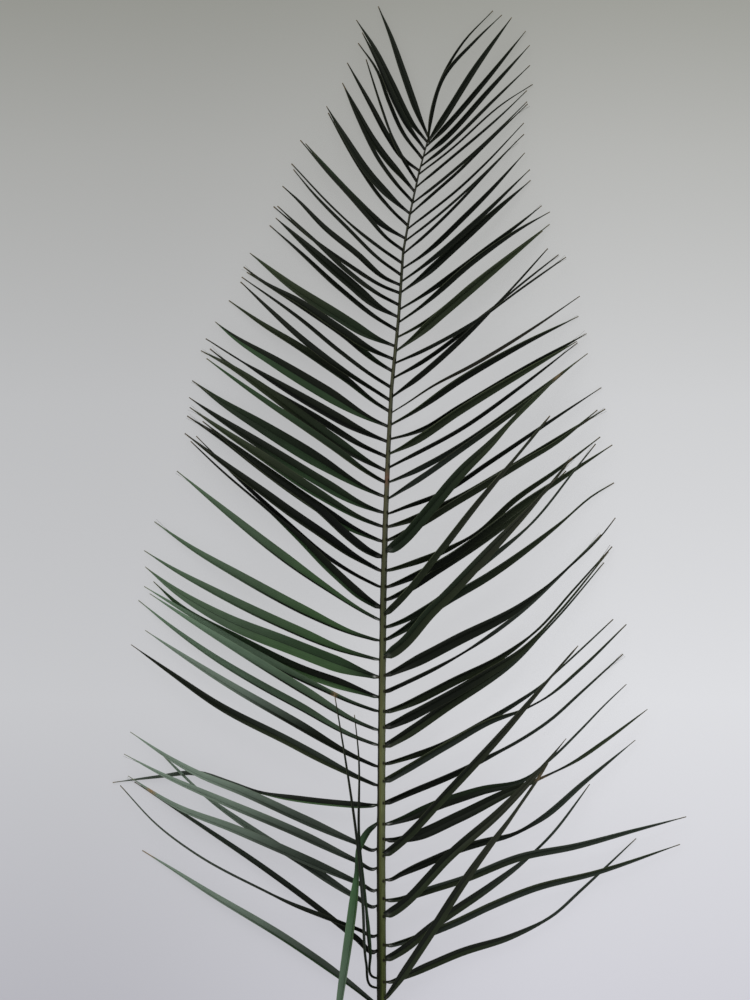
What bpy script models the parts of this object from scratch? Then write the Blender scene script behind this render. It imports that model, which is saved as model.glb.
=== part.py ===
"""Preserved palm frond: one cut frond of a pygmy date palm, lying flat on a surface.

The frond grew as one piece. A tapering midrib (the rachis) carries a row of narrow, folded
leaflets down each side, and the bare stalk below them ends in a plain cut. The stalk's underside
and some leaflet ends lie on the surface, and the midrib arches a little clear of it between them.

The shape is kept as a survey of the frond in millimetres: x runs to the right and y runs down the
frond, from the end of the top leaflet to the cut stalk. The model is in metres with +Z up, +Y
towards the top of the frond and its origin under the middle of the frond.
"""

import math
from typing import NamedTuple

import bmesh
import bpy
from mathutils import Vector
from mathutils.geometry import interpolate_bezier

MM = 0.001

# The survey point that lies over the model's origin, in survey millimetres
MIDDLE_X = 398.5
MIDDLE_Y = 566.0

# The stalk lies flat on the surface from its cut end up to here
CUT_Y = 1130.0
FLAT_END_Y = 1064.0
TOP_Y = 137.0

# The midrib is round, drawn with flat facets underneath and at its sides
RACHIS_SIDES = 8
RACHIS_STEP = 28.0
RACHIS_END_Y = TOP_Y - 2.0
ARCH = 17.0
TOP_RISE = 4.0

# How a leaflet opens out from its foot, for each side: the share of its length, and the foot's width
OPENS = {-1: 0.28, 1: 0.16}
FOOT = 3.2
TURN_BY = 0.24

# A leaflet is a folded blade: two halves that meet in a keel
BLADE_THICKNESS = 1.3
TIP_WIDTH = 1.1
SUNK = 0.9
BASE_FOLD = math.radians(52)
MIN_FOLD = math.radians(12)
MAX_FOLD = math.radians(35)
MAX_CLOSING = 2.2
TAPER_START = 0.42
TAPER_POWER = 1.8
PINCH_DEPTH = 0.55
PINCH_SPREAD = 0.09

# Where a blade's cross-sections lie, as shares of its length; a long course takes more of them
LONG_COURSE = 7
STATIONS = (0.0, 0.08, 0.18, 0.32, 0.50, 0.69, 0.86, 1.0)
BENT_STATIONS = (0.0, 0.05, 0.11, 0.19, 0.29, 0.41, 0.54, 0.69, 0.85, 1.0)

# Neighbouring leaflets take turns in three layers, so that they pass over and under each other
LAYERS = 3
LAYER_LIFT = 4.0
LAYER_FOOT = 0.35
LAYER_TIP = 3.5
LEAFLET_LIFT = 5.0
RAISED_TIP_SHARE = 0.8

LEAF_COLOUR = (0.020, 0.035, 0.014, 1.0)
LEAF_ROUGHNESS = 0.5


class Rib(NamedTuple):
    """One survey row of the midrib: its middle and its width."""

    x: float
    y: float
    width: float


class Leaflet(NamedTuple):
    """One leaflet: where it leaves the midrib, how wide it looks from above, and its course.

    thread is the share of the length after which only a thread-like end is left, thin how wide that
    end starts, pinch the share at which the blade turns on edge, and raised how far it stands above
    its layer. opens is the share by which it has its full width and foot how wide it starts, each
    as its side has it if 0. keel is how far the fold lies to the steeper wing's side.
    """

    root: float
    seen: float
    course: tuple
    thread: float = 1.0
    thin: float = 1.5
    pinch: float = -1.0
    raised: float = 0.0
    opens: float = 0.0
    foot: float = 0.0
    keel: float = 0.0


RACHIS = (
    Rib(428, 137, 1.5), Rib(419, 170, 1.9), Rib(410, 211, 2.2), Rib(403, 250, 2.6),
    Rib(398.3, 317, 3.2), Rib(391.5, 387, 3.9), Rib(388.3, 450, 4.6), Rib(385.3, 525, 5.4),
    Rib(383.3, 600, 6.4), Rib(382, 720, 7.2), Rib(381.3, 850, 8.0), Rib(381.3, 1000, 8.8),
    Rib(381.3, FLAT_END_Y, 10.0), Rib(381.3, CUT_Y, 10.0),
)

# The width of an opened-out leaflet, by where it leaves the midrib
FULL_WIDTHS = ((136, 8.0), (250, 9.0), (346, 12.0), (500, 13.0), (680, 15.0), (760, 12.0), (1006, 10.0))

LEFT = (
    Leaflet(136, 7, ((418, 112), (403, 70), (390, 32), (378, 3))),
    Leaflet(141, 7, ((412, 122), (391, 81), (373.5, 45), (356, 17))),
    Leaflet(149, 6, ((408, 125), (395, 101), (379, 64), (362, 30))),
    Leaflet(158, 4, ((403, 131), (389, 100), (376, 66), (358, 40))),
    Leaflet(170, 5.5, ((404, 158), (389, 137), (371, 104), (347, 60))),
    Leaflet(181, 4, ((403, 158), (393, 138), (381, 105), (366, 57)), thread=0.5, thin=2.0),
    Leaflet(191, 7, ((402, 175), (387, 157.5), (371, 135), (356, 107), (342, 80))),
    Leaflet(201, 4, ((396, 182), (380, 160), (366, 134), (352, 104), (344, 84))),
    Leaflet(213, 8, ((396, 201), (369, 173), (343, 133), (326, 104))),
    Leaflet(225, 3.5, ((395, 212), (380, 195), (360, 166.5), (336, 125), (328, 110))),
    Leaflet(238, 7, ((386, 226), (355, 198.3), (320, 159), (305, 141))),
    Leaflet(250, 4, ((388, 238), (368, 216), (348, 193), (325, 168), (300, 138))),
    Leaflet(263, 3.5, ((385, 250), (357, 228.3), (330, 203), (291, 161)), thread=0.55),
    Leaflet(275, 3.5, ((380, 258.5), (347, 226.3), (310, 188), (293, 167))),
    Leaflet(285, 6, ((385, 277), (357, 253), (325, 227), (295, 196), (282, 184))),
    Leaflet(293, 4, ((385, 286), (350, 264.3), (310, 235.5), (273, 204))),
    Leaflet(305, 4.5, ((380, 294), (345, 268), (315, 240), (277, 204)), raised=5),
    Leaflet(317, 10, ((380, 307), (350, 282.5), (318, 255), (275, 216))),
    Leaflet(330, 4.8, ((380, 319), (340, 287.3), (300, 250.5), (269, 223))),
    Leaflet(346, 11, ((376, 337.5), (335, 313), (295, 287.3), (249, 251)), keel=0.2),
    Leaflet(359, 7.5, ((375, 350.5), (340, 328), (300, 301), (262, 279.8), (243, 265))),
    Leaflet(371, 7.5, ((378, 361.5), (345, 334), (305, 306.5), (246, 270))),
    Leaflet(387, 4, ((375, 376.5), (340, 350.5), (300, 317.5), (241, 275))),
    Leaflet(400, 6.5, ((375, 390), (345, 370.5), (309, 343.7), (270, 308.8), (240, 280)), opens=0.5),
    Leaflet(411, 8, ((375, 401.5), (346, 378), (301, 346.5), (260, 321), (228, 298.5)), opens=0.42),
    Leaflet(426, 14.3, ((370, 417.8), (325, 391.5), (275, 361.2), (230, 333), (214, 320)), opens=0.36),
    Leaflet(441, 10, ((366, 432), (320, 407), (262, 373), (228, 351.8), (205, 337)), thread=0.82),
    Leaflet(456, 6.5, ((365, 446), (315, 415.5), (265, 386.5), (222, 357.3), (209, 347)), raised=-3),
    Leaflet(470, 11, ((368, 461), (350, 449.8), (320, 429), (271, 392.8), (228, 363.8), (200, 349)),
            keel=0.1),
    Leaflet(482, 6.5, ((370, 473), (335, 447.3), (300, 423), (265, 399.5), (230, 374.8), (206, 357)),
            raised=5),
    Leaflet(496, 15.5, ((366, 488), (320, 461), (258, 423.3), (220, 400), (191, 379)), opens=0.42),
    Leaflet(512, 11.5, ((364, 504.8), (318, 479), (260, 443), (208, 409.8), (188, 396)), keel=0.15),
    Leaflet(526, 10, ((362, 517.8), (318, 492.2), (258, 452.2), (212, 422), (189, 406)), raised=4,
            opens=0.4, keel=0.3),
    Leaflet(541, 10, ((355, 529), (311, 501.3), (263, 467.5), (225, 439.8), (186, 414.5))),
    Leaflet(557, 8, ((366, 548.5), (351, 537), (317, 506), (269, 472), (202, 420)), raised=6, opens=0.14,
            foot=5),
    Leaflet(571, 9.3, ((351, 553), (326, 535), (290, 510.3), (262, 489.8), (230, 466.8), (184, 432))),
    Leaflet(587, 5, ((354, 573), (325, 554.5), (284, 519.7), (235, 475), (195, 435)), opens=0.4),
    Leaflet(608, 9.5, ((366, 598), (333, 569.5), (300, 537), (262, 503.8), (221, 469), (190, 440)),
            thread=0.62, thin=2.0, opens=0.14, foot=5, raised=6),
    Leaflet(620, 9.8, ((365, 611.5), (325, 585.3), (277, 550.7), (222, 507.5), (176, 470)), opens=0.48,
            keel=0.55),
    Leaflet(640, 10, ((352, 631.7), (309, 612), (237, 573.6), (190, 546.5), (153, 521)), opens=0.36,
            keel=0.5),
    Leaflet(659, 9.8, ((343, 648.8), (298, 630), (214, 590.2), (170, 566.8), (143, 550)), opens=0.34,
            keel=0.6),
    Leaflet(677, 16.5, ((356, 669.7), (290, 644.6), (225, 618.5), (170, 586.2), (144, 566)), opens=0.2,
            foot=4),
    Leaflet(697, 11.5, ((352, 687.3), (297, 668.2), (240, 640.5), (180, 606.3), (152, 581)), raised=-3,
            opens=0.2, foot=4),
    Leaflet(711, 8.5, ((352, 701.3), (320, 686.3), (260, 655.5), (195, 617), (143, 586)), opens=0.5,
            keel=0.3),
    Leaflet(730, 9, ((357, 720.5), (308, 691), (228, 641.5), (190, 617.5), (150, 591.5)), raised=6,
            opens=0.35, keel=0.5),
    Leaflet(745, 7.9, ((352, 734.7), (300, 705.6), (260, 684), (218, 659.3), (164, 621.5), (137, 600)),
            opens=0.35, keel=0.6),
    Leaflet(767, 9.3, ((353, 755), (299, 723.8), (218, 677.2), (170, 647), (144, 630)), opens=0.35,
            keel=0.3),
    Leaflet(786, 9, ((353, 774), (320, 756.8), (290, 740.8), (218, 703), (170, 670.8), (130, 643.6))),
    Leaflet(804, 6.5, ((367, 805.3), (330, 802), (300, 797.5), (260, 791), (228, 781.5), (196, 771.5),
            (157, 774.5), (111, 783)), pinch=0.45, opens=0.1, raised=-6),
    Leaflet(851, 9.3, ((356, 842), (300, 817), (243, 791), (196, 772.5), (170, 758.5), (129, 732)),
            opens=0.3, keel=0.25),
    Leaflet(870.5, 8.8, ((356, 860.2), (300, 832.8), (215, 796.8), (161, 773.5), (123, 754)), opens=0.3,
            keel=0.25),
    Leaflet(892.5, 9.5, ((364, 885.5), (310, 860.8), (234, 827.8), (176, 805.5), (127, 776)), raised=8,
            opens=0.3, keel=0.4),
    Leaflet(909, 8, ((356, 897), (301, 861), (250, 828), (205, 796), (161, 755)), thread=0.9, thin=2.4,
            raised=-2),
    Leaflet(938, 4.5, ((360, 930), (320, 914.5), (290, 902.5), (262, 888.8), (196, 853), (157, 823.5),
            (120, 784)), thread=0.45, thin=2.4),
    Leaflet(956, 5.5, ((356, 940.5), (320, 911.5), (263, 866.8), (205, 827), (134, 781)), raised=-3,
            opens=0.1, foot=5),
    Leaflet(982.5, 4, ((371, 977), (367, 952), (361, 892), (358, 839), (358, 750), (354, 714)),
            thread=0.35, thin=2.6, raised=21),
    Leaflet(991, 4, ((369, 988), (363, 962), (360, 902), (356, 839), (346, 762), (334, 692)), thread=0.35,
            thin=2.6, raised=26),
    Leaflet(820, 9, ((369, 829), (359, 846), (356, 875), (349, 930), (339, 1000), (330, 1080)), raised=14,
            opens=0.12, keel=0.5),
    Leaflet(1009, 7.8, ((348, 983.5), (290, 941.5), (205, 889.8), (170, 867.3), (141, 850)), raised=-4,
            keel=0.5),
)

RIGHT = (
    Leaflet(135, 3, ((430, 115), (440, 80), (463, 40), (493, 7.5))),
    Leaflet(137, 4, ((431, 115), (442, 78), (475, 38.8), (502, 12))),
    Leaflet(139, 6.5, ((439, 124), (476, 66), (512, 15))),
    Leaflet(143, 5.5, ((440, 131), (484, 80.5), (526, 28))),
    Leaflet(153, 5.5, ((441, 140.5), (490, 87.5), (530, 42.5))),
    Leaflet(163, 4, ((441, 149), (494, 98.5), (530, 63))),
    Leaflet(171, 2.5, ((449, 149), (506, 99), (533, 81.5))),
    Leaflet(184, 3.2, ((445, 161.5), (505, 109.8), (527, 88))),
    Leaflet(200, 3.4, ((430, 188.3), (477, 149), (500, 127), (527, 99.5))),
    Leaflet(211, 3.6, ((429, 195.5), (460, 168), (480, 148), (528, 101))),
    Leaflet(226, 3, ((425, 214), (460, 186), (483, 164.3), (524, 120.5))),
    Leaflet(238, 3, ((424, 225.3), (460, 195.2), (480, 176.5), (524, 132))),
    Leaflet(251, 3.5, ((419, 239), (460, 199.5), (474, 184.5), (517, 138.5))),
    Leaflet(266, 5.4, ((419, 256.5), (465, 214.8), (490, 189.5), (525, 150.5)), opens=0.3),
    Leaflet(279, 5.2, ((419, 268), (475, 221), (530, 167.5)), opens=0.3),
    Leaflet(290, 7.8, ((415, 281), (460, 241), (490, 213.8), (531, 178)), opens=0.25),
    Leaflet(307, 6, ((420, 296), (460, 268), (490, 244.8), (520, 221.5), (542, 203.5)), opens=0.35),
    Leaflet(320, 5.8, ((415, 310), (474, 260), (520, 227.5), (550, 210)), opens=0.35),
    Leaflet(335, 6, ((410, 329.6), (430, 318), (475, 281.5), (550, 222)), opens=0.3),
    Leaflet(349, 9.5, ((410, 339.8), (441, 313.3), (485, 276), (543, 229)), opens=0.25),
    Leaflet(361, 4, ((418, 352), (480, 317.5), (520, 288.3), (566, 255.5)), thread=0.72, thin=1.8,
            raised=3),
    Leaflet(376, 4.5, ((415, 365), (490, 308.5), (520, 283.5), (559, 252.5)), thread=0.72, thin=1.8,
            raised=-2),
    Leaflet(395, 6, ((412, 381), (464, 335.5), (509, 290), (548, 246.5)), thread=0.75, thin=1.8, raised=-1),
    Leaflet(411, 4, ((405, 403.3), (430, 386.8), (475, 362.8), (534, 326.3), (580, 294.5)), opens=0.5,
            foot=2),
    Leaflet(423, 7.2, ((410, 413), (460, 379), (520, 344.3), (579, 314.5)), opens=0.3),
    Leaflet(437, 9, ((410, 433), (425, 427.5), (461, 407), (540, 359), (587, 332)), opens=0.35),
    Leaflet(452, 8, ((405, 445.5), (420, 437), (455, 413), (534, 365), (577, 340))),
    Leaflet(466, 4.4, ((410, 455.5), (460, 428.5), (520, 386), (578, 341))),
    Leaflet(481, 6, ((410, 472.3), (430, 462.2), (460, 445), (520, 403), (588, 352))),
    Leaflet(498, 6, ((405, 487), (430, 470.5), (455, 452.5), (532, 396.8), (580, 358))),
    Leaflet(513, 5, ((405, 506.3), (440, 493), (490, 460.8), (550, 420.3), (602, 386))),
    Leaflet(526, 7.5, ((408, 520), (450, 502), (510, 468), (569, 431), (606, 408))),
    Leaflet(540, 7, ((402, 533), (460, 499), (520, 463), (559, 440), (598, 409))),
    Leaflet(552, 12, ((399, 540), (428, 510), (463, 469), (490, 443), (511, 420.5), (563, 370)),
            raised=18, opens=0.06, foot=7, thread=0.8, thin=4.4),
    Leaflet(570, 6.5, ((404, 565), (450, 547.3), (482, 528.5), (515, 499), (555, 471), (601, 436)),
            pinch=0.36),
    Leaflet(587, 8, ((403, 580), (440, 562.5), (491, 527.3), (520, 505.2), (560, 478.5), (613, 444))),
    Leaflet(600, 7.2, ((404, 591), (439, 569), (491, 534.5), (520, 513), (539, 497), (567, 470))),
    Leaflet(615, 7, ((395, 604), (439, 551), (474, 506), (525, 445), (550, 415)), raised=18, opens=0.06,
            foot=6, thread=0.9, thin=2.4),
    Leaflet(627, 7, ((405, 619), (430, 604.8), (477, 567), (530, 523.5), (576, 467.5), (596, 443)),
            thread=0.68, thin=1.9, raised=7),
    Leaflet(640, 8.7, ((400, 631), (445, 601), (489, 575.2), (560, 523.2), (594, 494.5), (615, 482)),
            thread=0.85),
    Leaflet(658, 12, ((403, 640), (430, 611), (448, 592.8), (497, 541), (534, 502), (572, 457)),
            raised=18, opens=0.06, foot=7, thread=0.9, thin=2.4),
    Leaflet(676, 12, ((404, 666.3), (430, 653.2), (453, 641), (518, 607), (568, 567), (603, 533.5), (616,
            517)), thread=0.7, thin=1.9, foot=4.5),
    Leaflet(692, 4.5, ((403, 683.3), (462, 653), (518, 614), (570, 566), (602, 534)), pinch=0.33,
            opens=0.1, foot=4.5),
    Leaflet(712, 9, ((403, 705.3), (453, 681), (500, 657), (537, 629.5), (573, 590), (613, 546)),
            thread=0.62, thin=2.0, foot=4.5),
    Leaflet(728, 10.5, ((402, 719.5), (430, 705), (460, 688.5), (490, 670.5), (518, 652.5), (555, 615.5),
            (609, 551)), thread=0.7, thin=2.0, opens=0.12, foot=6),
    Leaflet(747, 10.5, ((402, 736), (449, 704), (517, 658), (555, 620), (605, 562)), thread=0.7, thin=1.8,
            opens=0.12, foot=7),
    Leaflet(764, 6.5, ((407, 757), (438, 746), (485, 721), (520, 700), (537, 688.5), (560, 668.3), (614,
            619)), thread=0.74, thin=1.6),
    Leaflet(782, 8, ((402, 771), (447, 744.2), (491, 720), (520, 710), (545, 697.3), (580, 668.7), (627,
            624)), thread=0.62, thin=3.4, opens=0.12, foot=7, pinch=0.6),
    Leaflet(804, 7, ((407, 793.5), (457, 772.5), (490, 756), (520, 740), (550, 720.2), (580, 693.7), (605,
            671.2), (624, 654)), thread=0.55, thin=3.0, foot=5.5),
    Leaflet(825, 11, ((403, 818.5), (440, 803), (460, 796.2), (481, 789.7), (522, 780), (551, 758), (580,
            730), (605, 704.5), (627, 684)), thread=0.6, thin=2.4, foot=4.5),
    Leaflet(840, 12, ((407, 837.5), (458, 816), (508, 791), (543, 776), (573, 761.5), (605, 740.3), (648,
            709)), thread=0.66, thin=4.6, pinch=0.63),
    Leaflet(857, 9, ((398, 841), (446, 792), (502, 731), (550, 676), (578, 645)), raised=18, opens=0.06,
            foot=6, thread=0.95, thin=2.0),
    Leaflet(882.5, 8.6, ((401, 873.7), (430, 860.5), (456, 849.5), (490, 839.5), (509, 835), (539, 819.5),
            (584, 782), (636, 740)), pinch=0.5),
    Leaflet(900, 8.3, ((401, 898.7), (430, 889.3), (462, 879), (521, 856), (574, 845.8), (635, 830), (687,
            817))),
    Leaflet(918, 10.5, ((399, 903.5), (430, 874.5), (441, 862), (502, 807), (545, 762.5), (566, 738)),
            raised=18, opens=0.06, foot=7),
    Leaflet(946.5, 8, ((401, 942.8), (452, 924), (490, 906), (533, 888.5), (595, 873), (681, 845))),
    Leaflet(962, 9.5, ((400, 951.5), (431, 926.5), (494, 882.5), (520, 863), (550, 835.3), (580, 797.5),
            (590, 784)), thread=0.76, thin=2.6, opens=0.12, foot=8),
    Leaflet(984, 9, ((397, 980), (430, 965.5), (460, 952.8), (513, 936), (554, 915), (580, 891.8), (637,
            839)), thread=0.66, thin=3.0),
    Leaflet(1004, 9.5, ((399, 979), (431, 929), (462, 880), (490, 841), (505, 822), (520, 801.5), (548,
            762)), thread=0.92, thin=3.0, raised=24),
)


def ease(share: float) -> float:
    """Go smoothly from 0 to 1 as share does."""
    share = min(max(share, 0.0), 1.0)
    return share * share * (3.0 - 2.0 * share)


def between(rows: tuple, at: float) -> float:
    """Read a value from rows of (place, value), in straight lines between them."""
    for (low, start), (high, end) in zip(rows, rows[1:]):
        if at <= high:
            return start + (end - start) * max(at - low, 0.0) / (high - low)
    return rows[-1][1]


def rib_x(y: float) -> float:
    """The midrib's middle at survey height y."""
    return between(tuple((rib.y, rib.x) for rib in RACHIS), y)


def rib_width(y: float) -> float:
    """The midrib's width at survey height y."""
    return between(tuple((rib.y, rib.width) for rib in RACHIS), y)


def rib_z(y: float) -> float:
    """The height of the midrib's middle: flat along the stalk, then a low arch."""
    way = min(max((FLAT_END_Y - y) / (FLAT_END_Y - TOP_Y), 0.0), 1.0)
    return RACHIS[-1].width / 2.0 + ARCH * math.sin(math.pi * way) ** 2 + TOP_RISE * way * way


def in_row(x: float, y: float, z: float) -> Vector:
    """Turn survey millimetres into the model's metres."""
    return Vector((x - MIDDLE_X, MIDDLE_Y - y, z)) * MM


def smooth_course(points: list, steps: int = 10) -> list:
    """Lay a smooth curve through points: each span is a cubic that keeps its neighbours' slope."""
    knots = [Vector(point) for point in points]
    spans = [(b - a).length for a, b in zip(knots, knots[1:])]
    slopes = [(knots[1] - knots[0]) / spans[0]]
    for i in range(1, len(knots) - 1):
        before = (knots[i] - knots[i - 1]) / spans[i - 1]
        after = (knots[i + 1] - knots[i]) / spans[i]
        slopes.append((before * spans[i] + after * spans[i - 1]) / (spans[i] + spans[i - 1]))
    slopes.append((knots[-1] - knots[-2]) / spans[-1])
    curve = []
    for i, span in enumerate(spans):
        near = knots[i] + slopes[i] * span / 3.0
        far = knots[i + 1] - slopes[i + 1] * span / 3.0
        curve += interpolate_bezier(knots[i], near, far, knots[i + 1], steps + 1)[:steps]
    return curve + [knots[-1]]


def along(curve: list, shares: tuple) -> list:
    """Find the points at the given shares of a curve's length."""
    lengths = [0.0]
    for a, b in zip(curve, curve[1:]):
        lengths.append(lengths[-1] + (b - a).length)
    found = []
    span = 0
    for share in shares:
        want = share * lengths[-1]
        while span < len(curve) - 2 and lengths[span + 1] < want:
            span += 1
        part = (want - lengths[span]) / (lengths[span + 1] - lengths[span])
        found.append(curve[span].lerp(curve[span + 1], min(part, 1.0)))
    return found


def opened_width(leaflet: Leaflet) -> float:
    """The leaflet's full width when opened out flat."""
    grown = between(FULL_WIDTHS, leaflet.root)
    return min(max(grown, leaflet.seen), leaflet.seen * MAX_CLOSING)


def opening(leaflet: Leaflet, share: float, side: int, least: float = 0.0) -> float:
    """How far the blade has opened out from its foot, over the least share or more of its length."""
    return ease(share / max(leaflet.opens or OPENS[side], least))


def seen_at(leaflet: Leaflet, share: float, side: int) -> float:
    """How wide the blade looks from above: narrow foot, broad middle, long point."""
    foot = leaflet.foot or FOOT
    grown = foot + (leaflet.seen - foot) * opening(leaflet, share, side)
    start = TAPER_START * leaflet.thread
    fall = 1.0 - min(max((share - start) / (leaflet.thread - start), 0.0), 1.0) ** TAPER_POWER
    width = grown * fall
    if leaflet.thread < 1.0:
        late = max((share - leaflet.thread) / (1.0 - leaflet.thread), 0.0)
        width = max(width, leaflet.thin + (TIP_WIDTH - leaflet.thin) * late * late)
    if leaflet.pinch > 0.0:
        width *= 1.0 - PINCH_DEPTH * math.exp(-((share - leaflet.pinch) / PINCH_SPREAD) ** 2)
    return max(width, TIP_WIDTH)


def section(leaflet: Leaflet, share: float, side: int) -> list:
    """The blade's cross-section as (across, up) points: edge, keel, edge and trough.

    The section is centred on the course, and just as wide as the blade looks from above.
    """
    full = opened_width(leaflet)
    seen = seen_at(leaflet, share, side)
    fold = min(max(math.acos(math.sqrt(leaflet.seen / full)), MIN_FOLD), MAX_FOLD)
    opened = opening(leaflet, share, side, TURN_BY)
    turn = math.acos(min(leaflet.seen / (full * math.cos(fold)), 1.0)) * opened
    fold = BASE_FOLD + (fold - BASE_FOLD) * opened
    half = seen * full / leaflet.seen / 2.0
    thick = BLADE_THICKNESS / 2.0
    keel = leaflet.keel * side
    high, low = half * (1.0 - keel), half * (1.0 + keel)
    shape = ((math.cos(fold) * high, math.sin(fold) * high), (0.0, -thick),
             (-math.cos(fold) * low, math.sin(fold) * low), (0.0, thick))
    turn *= side
    turned = [(x * math.cos(turn) - z * math.sin(turn), x * math.sin(turn) + z * math.cos(turn))
              for x, z in shape]
    middle = (turned[0][0] + turned[2][0]) / 2.0
    stretch = seen / abs(turned[0][0] - turned[2][0])
    return [((across - middle) * stretch, up) for across, up in turned]


def leaflet_rings(leaflet: Leaflet, index: int, side: int) -> list:
    """Work out the blade's cross-sections along its course, in metres."""
    layer = index % LAYERS
    root = (rib_x(leaflet.root), leaflet.root + SUNK)
    shares = BENT_STATIONS if len(leaflet.course) > LONG_COURSE else STATIONS
    path = along(smooth_course([root] + list(leaflet.course)), shares)
    low = rib_z(leaflet.root) + layer * LAYER_FOOT
    tip = max(layer * LAYER_TIP + leaflet.raised * RAISED_TIP_SHARE, 0.0)
    lift = LEAFLET_LIFT + layer * LAYER_LIFT + leaflet.raised
    rings = []
    for i, (share, point) in enumerate(zip(shares, path)):
        shape = section(leaflet, share, side)
        reach = -min(up for across, up in shape)
        height = low + (tip - low) * share + lift * 4.0 * share * (1.0 - share)
        height = max(height, reach)
        ahead = path[min(i + 1, len(path) - 1)] - path[max(i - 1, 0)]
        across = Vector((-ahead.y, ahead.x)).normalized() * -side
        rings.append([in_row(point.x + across.x * u, point.y + across.y * u, height + v)
                      for u, v in shape])
    return rings


def skin(name: str, rings: list) -> bpy.types.Object:
    """Skin a run of cross-sections and close both ends.

    A blade is thin and twists, so both of its faces are split alike: every diagonal goes from an
    even corner of one cross-section, an edge, to an odd one of the next, the keel or the trough.
    """
    shape = bmesh.new()
    loops = [[shape.verts.new(point) for point in ring] for ring in rings]
    for a, b in zip(loops, loops[1:]):
        for i in range(len(a)):
            j = (i + 1) % len(a)
            if i % 2 == 0:
                shape.faces.new((a[i], a[j], b[j]))
                shape.faces.new((a[i], b[j], b[i]))
            else:
                shape.faces.new((a[i], a[j], b[i]))
                shape.faces.new((a[j], b[j], b[i]))
    for loop in (loops[0], loops[-1]):
        if len(loop) == 4:
            shape.faces.new((loop[0], loop[1], loop[3]))
            shape.faces.new((loop[1], loop[2], loop[3]))
        else:
            shape.faces.new(loop)
    bmesh.ops.recalc_face_normals(shape, faces=shape.faces[:])
    mesh = bpy.data.meshes.new(name)
    shape.to_mesh(mesh)
    shape.free()
    return bpy.data.objects.new(name, mesh)


def rachis_rings() -> list:
    """The midrib's and stalk's cross-sections, with one facet flat underneath."""
    stops = [CUT_Y, FLAT_END_Y]
    while stops[-1] - RACHIS_STEP > TOP_Y:
        stops.append(stops[-1] - RACHIS_STEP)
    stops.append(RACHIS_END_Y)
    rings = []
    for y in stops:
        radius = rib_width(y) / 2.0 / math.cos(math.pi / RACHIS_SIDES)
        ring = []
        for i in range(RACHIS_SIDES):
            angle = math.tau * (i + 0.5) / RACHIS_SIDES
            ring.append(in_row(rib_x(y) + radius * math.cos(angle), y, rib_z(y) + radius * math.sin(angle)))
        rings.append(ring)
    return rings


def leaf_material() -> bpy.types.Material:
    """Dark green dried leaf with a slight sheen."""
    material = bpy.data.materials.new("preserved_leaf")
    material.use_nodes = True
    shader = material.node_tree.nodes["Principled BSDF"]
    shader.inputs["Base Color"].default_value = LEAF_COLOUR
    shader.inputs["Roughness"].default_value = LEAF_ROUGHNESS
    shader.inputs["Metallic"].default_value = 0.0
    return material


def build_frond() -> bpy.types.Object:
    """Join the midrib and every leaflet into one grown piece."""
    scene = bpy.context.scene
    frond = skin("palm_frond", rachis_rings())
    scene.collection.objects.link(frond)
    leaflets = bpy.data.collections.new("leaflets")
    scene.collection.children.link(leaflets)
    for side, row in ((-1, LEFT), (1, RIGHT)):
        for index, leaflet in enumerate(row):
            leaflets.objects.link(skin("leaflet", leaflet_rings(leaflet, index, side)))

    joined = frond.modifiers.new("Join", "BOOLEAN")
    joined.operation = "UNION"
    joined.operand_type = "COLLECTION"
    joined.collection = leaflets
    joined.solver = "EXACT"
    depsgraph = bpy.context.evaluated_depsgraph_get()
    mesh = bpy.data.meshes.new_from_object(frond.evaluated_get(depsgraph))
    frond.modifiers.remove(joined)
    for leaflet in list(leaflets.objects):
        bpy.data.objects.remove(leaflet)
    bpy.data.collections.remove(leaflets)

    mesh.name = "palm_frond"
    mesh.materials.clear()
    mesh.materials.append(leaf_material())
    frond.data = mesh
    return frond


for item in list(bpy.data.objects):
    bpy.data.objects.remove(item)
build_frond()
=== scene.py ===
"""The looks of the preserved palm frond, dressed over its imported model.

The frond lies on a pale surface and the camera looks straight down on it. The midrib and the two
rows of leaflets are built here again, finer, from the survey that the solid was built from: x runs
to the right and y runs down the frond in millimetres, from the end of the top leaflet to the cut
stalk. The finished pieces are in metres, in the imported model's own place.
Sizes here are in millimetres unless a comment says metres.
"""

import logging
import math
import random
from dataclasses import dataclass, field
from enum import Enum
from typing import NamedTuple

import bmesh
import bpy
from mathutils import Matrix, Vector
from mathutils.geometry import interpolate_bezier


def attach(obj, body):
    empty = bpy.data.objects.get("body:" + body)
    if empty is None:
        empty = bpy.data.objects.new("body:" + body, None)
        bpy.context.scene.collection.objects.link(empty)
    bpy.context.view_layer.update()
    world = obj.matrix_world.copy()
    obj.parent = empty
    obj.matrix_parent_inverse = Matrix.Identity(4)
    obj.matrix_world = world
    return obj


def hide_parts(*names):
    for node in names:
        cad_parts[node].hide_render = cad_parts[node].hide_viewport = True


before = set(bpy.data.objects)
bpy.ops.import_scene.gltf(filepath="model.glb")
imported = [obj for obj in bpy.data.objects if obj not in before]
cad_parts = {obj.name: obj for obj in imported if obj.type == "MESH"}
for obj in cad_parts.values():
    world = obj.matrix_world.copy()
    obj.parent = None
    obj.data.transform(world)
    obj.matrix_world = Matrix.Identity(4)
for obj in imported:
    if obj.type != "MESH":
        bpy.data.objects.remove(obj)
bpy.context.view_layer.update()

MM = 0.001
CREASE = math.radians(40.0)
log = logging.getLogger("palm_frond")

# The survey point that lies over the model's origin
MIDDLE_X = 398.5
MIDDLE_Y = 566.0

# Where the photograph's middle lies in the survey, and how tall its view is there
VIEW_X = 374.7
VIEW_Y = 499.1
VIEW_TALL = 1000.0


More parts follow.
